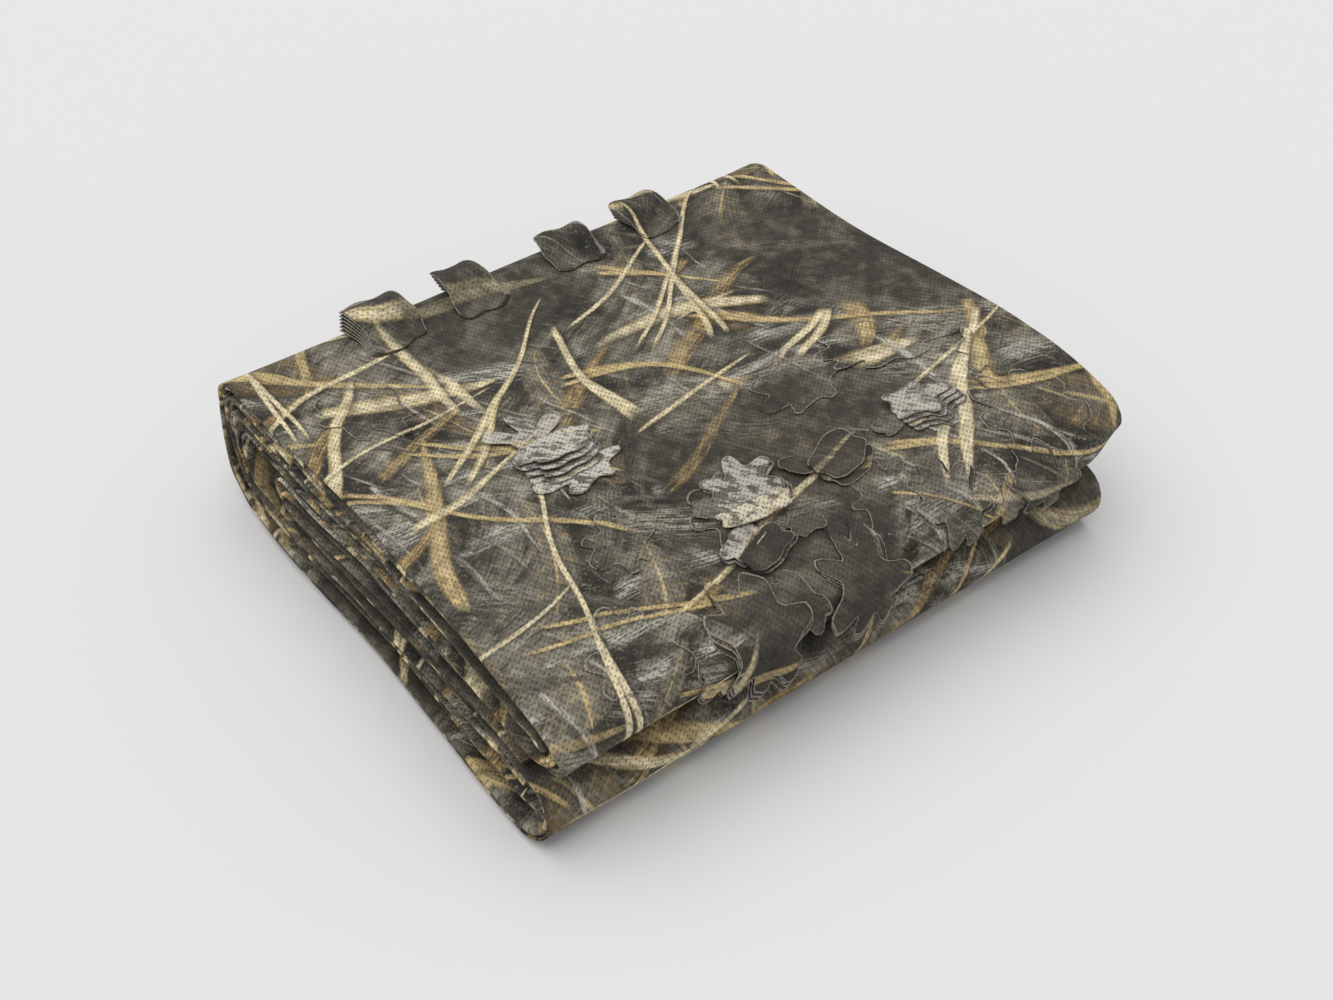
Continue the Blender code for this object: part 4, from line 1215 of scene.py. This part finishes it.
# The painted shade in stretches beside a leaf's cut edge, the painted shade under the ply above, and the
# pale painted highlight on the cut edge itself.
# From is the rim values between which each begins and is full.
RIM_SHADE_SCALE, RIM_SHADE_RANGE, RIM_SHADE_FROM, RIM_SHADE = 26.0, (0.50, 0.56), (0.90, 0.96), 0.85
PLY_PAINTED_SHADE = 0.75
CUT_EDGE_FROM, CUT_EDGE_HIGHLIGHT_SHARE, CUT_EDGE_HIGHLIGHT = (0.957, 0.975), 0.62, (0.43, 0.40, 0.33)


def read_value(tree, name):
    """Gives the node that reads a value kept on the mesh."""
    node = tree.nodes.new("ShaderNodeAttribute")
    node.attribute_name = name
    return node


def leaf_tone(tree, place, pattern):
    """The print with a leaf's own tone in patches, painted shade by its cut edge and under the ply above,
    and a painted highlight on the cut edge.
    """
    own = read_value(tree, "tone")
    rim = read_value(tree, "rim").outputs["Fac"]
    shade = read_value(tree, "shade").outputs["Fac"]
    patches = noise(tree, place, TONE_PATCHES, 3.0, 0.6)
    patches = calculate(tree, "MULTIPLY_ADD", patches, TONE_PATCH_SHARE, pattern["Fibre"])
    share = soft_step(tree, patches, *TONE_RANGE)
    share = calculate(tree, "MULTIPLY_ADD", share, 1.0 - TONE_BETWEEN, TONE_BETWEEN)
    share = calculate(tree, "MULTIPLY", own.outputs["Alpha"], share)
    tone = blend_colours(tree, share, pattern["Colour"], own.outputs["Color"])

    # Painted shade in stretches just inside the cut edge, where the gap under a lifted edge would be dark
    beside = soft_step(tree, noise(tree, place, RIM_SHADE_SCALE, 1.0), *RIM_SHADE_RANGE)
    beside = calculate(tree, "MULTIPLY", beside, soft_step(tree, rim, *RIM_SHADE_FROM))
    tone = blend_colours(tree, calculate(tree, "MULTIPLY", beside, RIM_SHADE), tone, SHADOW)
    # Painted shade on a lower ply, beside the ply above
    tone = blend_colours(tree, calculate(tree, "MULTIPLY", shade, PLY_PAINTED_SHADE), tone, SHADOW)
    # A pale painted highlight along the cut edge
    edge = calculate(tree, "MULTIPLY", soft_step(tree, rim, *CUT_EDGE_FROM), CUT_EDGE_HIGHLIGHT_SHARE)
    return blend_colours(tree, edge, tone, CUT_EDGE_HIGHLIGHT)


def panel_tone(tree, place, pattern):
    """The print, with painted shade on the cloth inside the packet, between the layers."""
    inside = calculate(tree, "MULTIPLY", read_value(tree, "inside").outputs["Fac"], INSIDE_PAINTED_SHADE)
    return blend_colours(tree, inside, pattern["Colour"], SHADOW)


def cloth_material(name, print_tree, bonds, tone_of):
    """Matt non-woven cloth with the print, toned as tone_of says, and with the emboss, its pits darkened by
    painted shade.
    """
    material = bpy.data.materials.new(name)
    material.use_nodes = True
    tree = material.node_tree
    shader = tree.nodes["Principled BSDF"]
    map_node = tree.nodes.new("ShaderNodeUVMap")
    map_node.uv_map = "print"
    place = map_node.outputs["UV"]
    pattern = tree.nodes.new("ShaderNodeGroup")
    pattern.node_tree = print_tree
    emboss = tree.nodes.new("ShaderNodeGroup")
    emboss.node_tree = bonds
    for node in (pattern, emboss):
        tree.links.new(place, node.inputs["Place"])

    tone = tone_of(tree, place, pattern.outputs)
    # Painted shade in the emboss's pits
    pits = calculate(tree, "MULTIPLY", emboss.outputs["Pit"], PIT_PAINTED_SHADE)
    tone = blend_colours(tree, pits, tone, SHADOW)
    tree.links.new(tone, shader.inputs["Base Color"])
    shader.inputs["Roughness"].default_value = CLOTH_ROUGHNESS
    shader.inputs["Specular IOR Level"].default_value = CLOTH_SHEEN
    bump = tree.nodes.new("ShaderNodeBump")
    bump.inputs["Strength"].default_value = BUMP_STRENGTH
    bump.inputs["Distance"].default_value = BUMP_DEPTH
    tree.links.new(emboss.outputs["Height"], bump.inputs["Height"])
    tree.links.new(bump.outputs["Normal"], shader.inputs["Normal"])
    return material


# The studio

AIM = Vector((-0.02575, -0.03752, 0.04))
CAMERA_DISTANCE = 0.9190
CAMERA_AZIMUTH, CAMERA_ELEVATION, CAMERA_ROLL = -38.51, 42.84, 1.406
CAMERA_LENS, CAMERA_SENSOR = 48.72, 36.0
KEY_WAY = Vector((-0.15, 0.38, 1.30))  # from the packet to the key light
KEY_WIDTH, KEY_STRENGTH, SKY_STRENGTH = 80, 1.60, 0.50
FLOOR_SIZE, FLOOR_TONE, FLOOR_ROUGHNESS, FLOOR_SHEEN = 30.0, 0.812, 0.9, 0.1


def look_from(thing, place, aim, roll=0.0):
    """Puts a camera or lamp at a place and turns it to the aim."""
    turn = (aim - place).to_track_quat("-Z", "Y").to_matrix().to_4x4()
    thing.matrix_world = Matrix.Translation(place) @ turn @ Matrix.Rotation(math.radians(roll), 4, "Z")


def add_camera():
    data = bpy.data.cameras.new("camera")
    data.sensor_width = CAMERA_SENSOR
    data.lens = CAMERA_LENS
    camera = bpy.data.objects.new("camera", data)
    bpy.context.scene.collection.objects.link(camera)
    azimuth, elevation = math.radians(CAMERA_AZIMUTH), math.radians(CAMERA_ELEVATION)
    way = Vector(
        (
            math.sin(azimuth) * math.cos(elevation),
            -math.cos(azimuth) * math.cos(elevation),
            math.sin(elevation),
        )
    )
    look_from(camera, AIM + way * CAMERA_DISTANCE, AIM, CAMERA_ROLL)
    bpy.context.scene.camera = camera


def add_key():
    """A large soft light from behind the packet's left end, the same all over the floor."""
    data = bpy.data.lights.new("key", "SUN")
    data.angle = math.radians(KEY_WIDTH)
    data.energy = KEY_STRENGTH
    lamp = bpy.data.objects.new("key", data)
    bpy.context.scene.collection.objects.link(lamp)
    look_from(lamp, KEY_WAY, Vector((0.0, 0.0, 0.0)))


def add_floor():
    half = FLOOR_SIZE / 2
    corners = np.array([(-half, -half, 0.0), (half, -half, 0.0), (half, half, 0.0), (-half, half, 0.0)])
    floor = mesh_from("floor", corners, np.array([[0, 1, 2, 3]]))
    material = bpy.data.materials.new("pale_floor")
    material.use_nodes = True
    shader = material.node_tree.nodes["Principled BSDF"]
    shader.inputs["Base Color"].default_value = (FLOOR_TONE, FLOOR_TONE, FLOOR_TONE, 1.0)
    shader.inputs["Roughness"].default_value = FLOOR_ROUGHNESS
    shader.inputs["Specular IOR Level"].default_value = FLOOR_SHEEN
    floor.data.materials.append(material)


def set_studio():
    scene = bpy.context.scene
    scene.view_settings.view_transform = "Standard"
    world = bpy.data.worlds.new("studio")
    world.use_nodes = True
    sky = world.node_tree.nodes["Background"]
    sky.inputs["Color"].default_value = (1.0, 1.0, 1.0, 1.0)
    sky.inputs["Strength"].default_value = SKY_STRENGTH
    scene.world = world
    add_camera()
    add_floor()
    add_key()


# The making

print_tree = camouflage_print(stroke_field())
bonds = point_bonds()
cloth_finish = cloth_material("printed_cloth_look", print_tree, bonds, panel_tone)
leaf_finish = cloth_material("leaf_flap_look", print_tree, bonds, leaf_tone)

strip = Strip()
cloth = folded_panel(strip)
cloth.data.materials.append(cloth_finish)
flaps = leaf_flaps(strip, leaf_finish)
flaps.data.materials.append(leaf_finish)

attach(cloth, "root")
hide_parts("folded_cloth")
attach(flaps, "root")

set_studio()
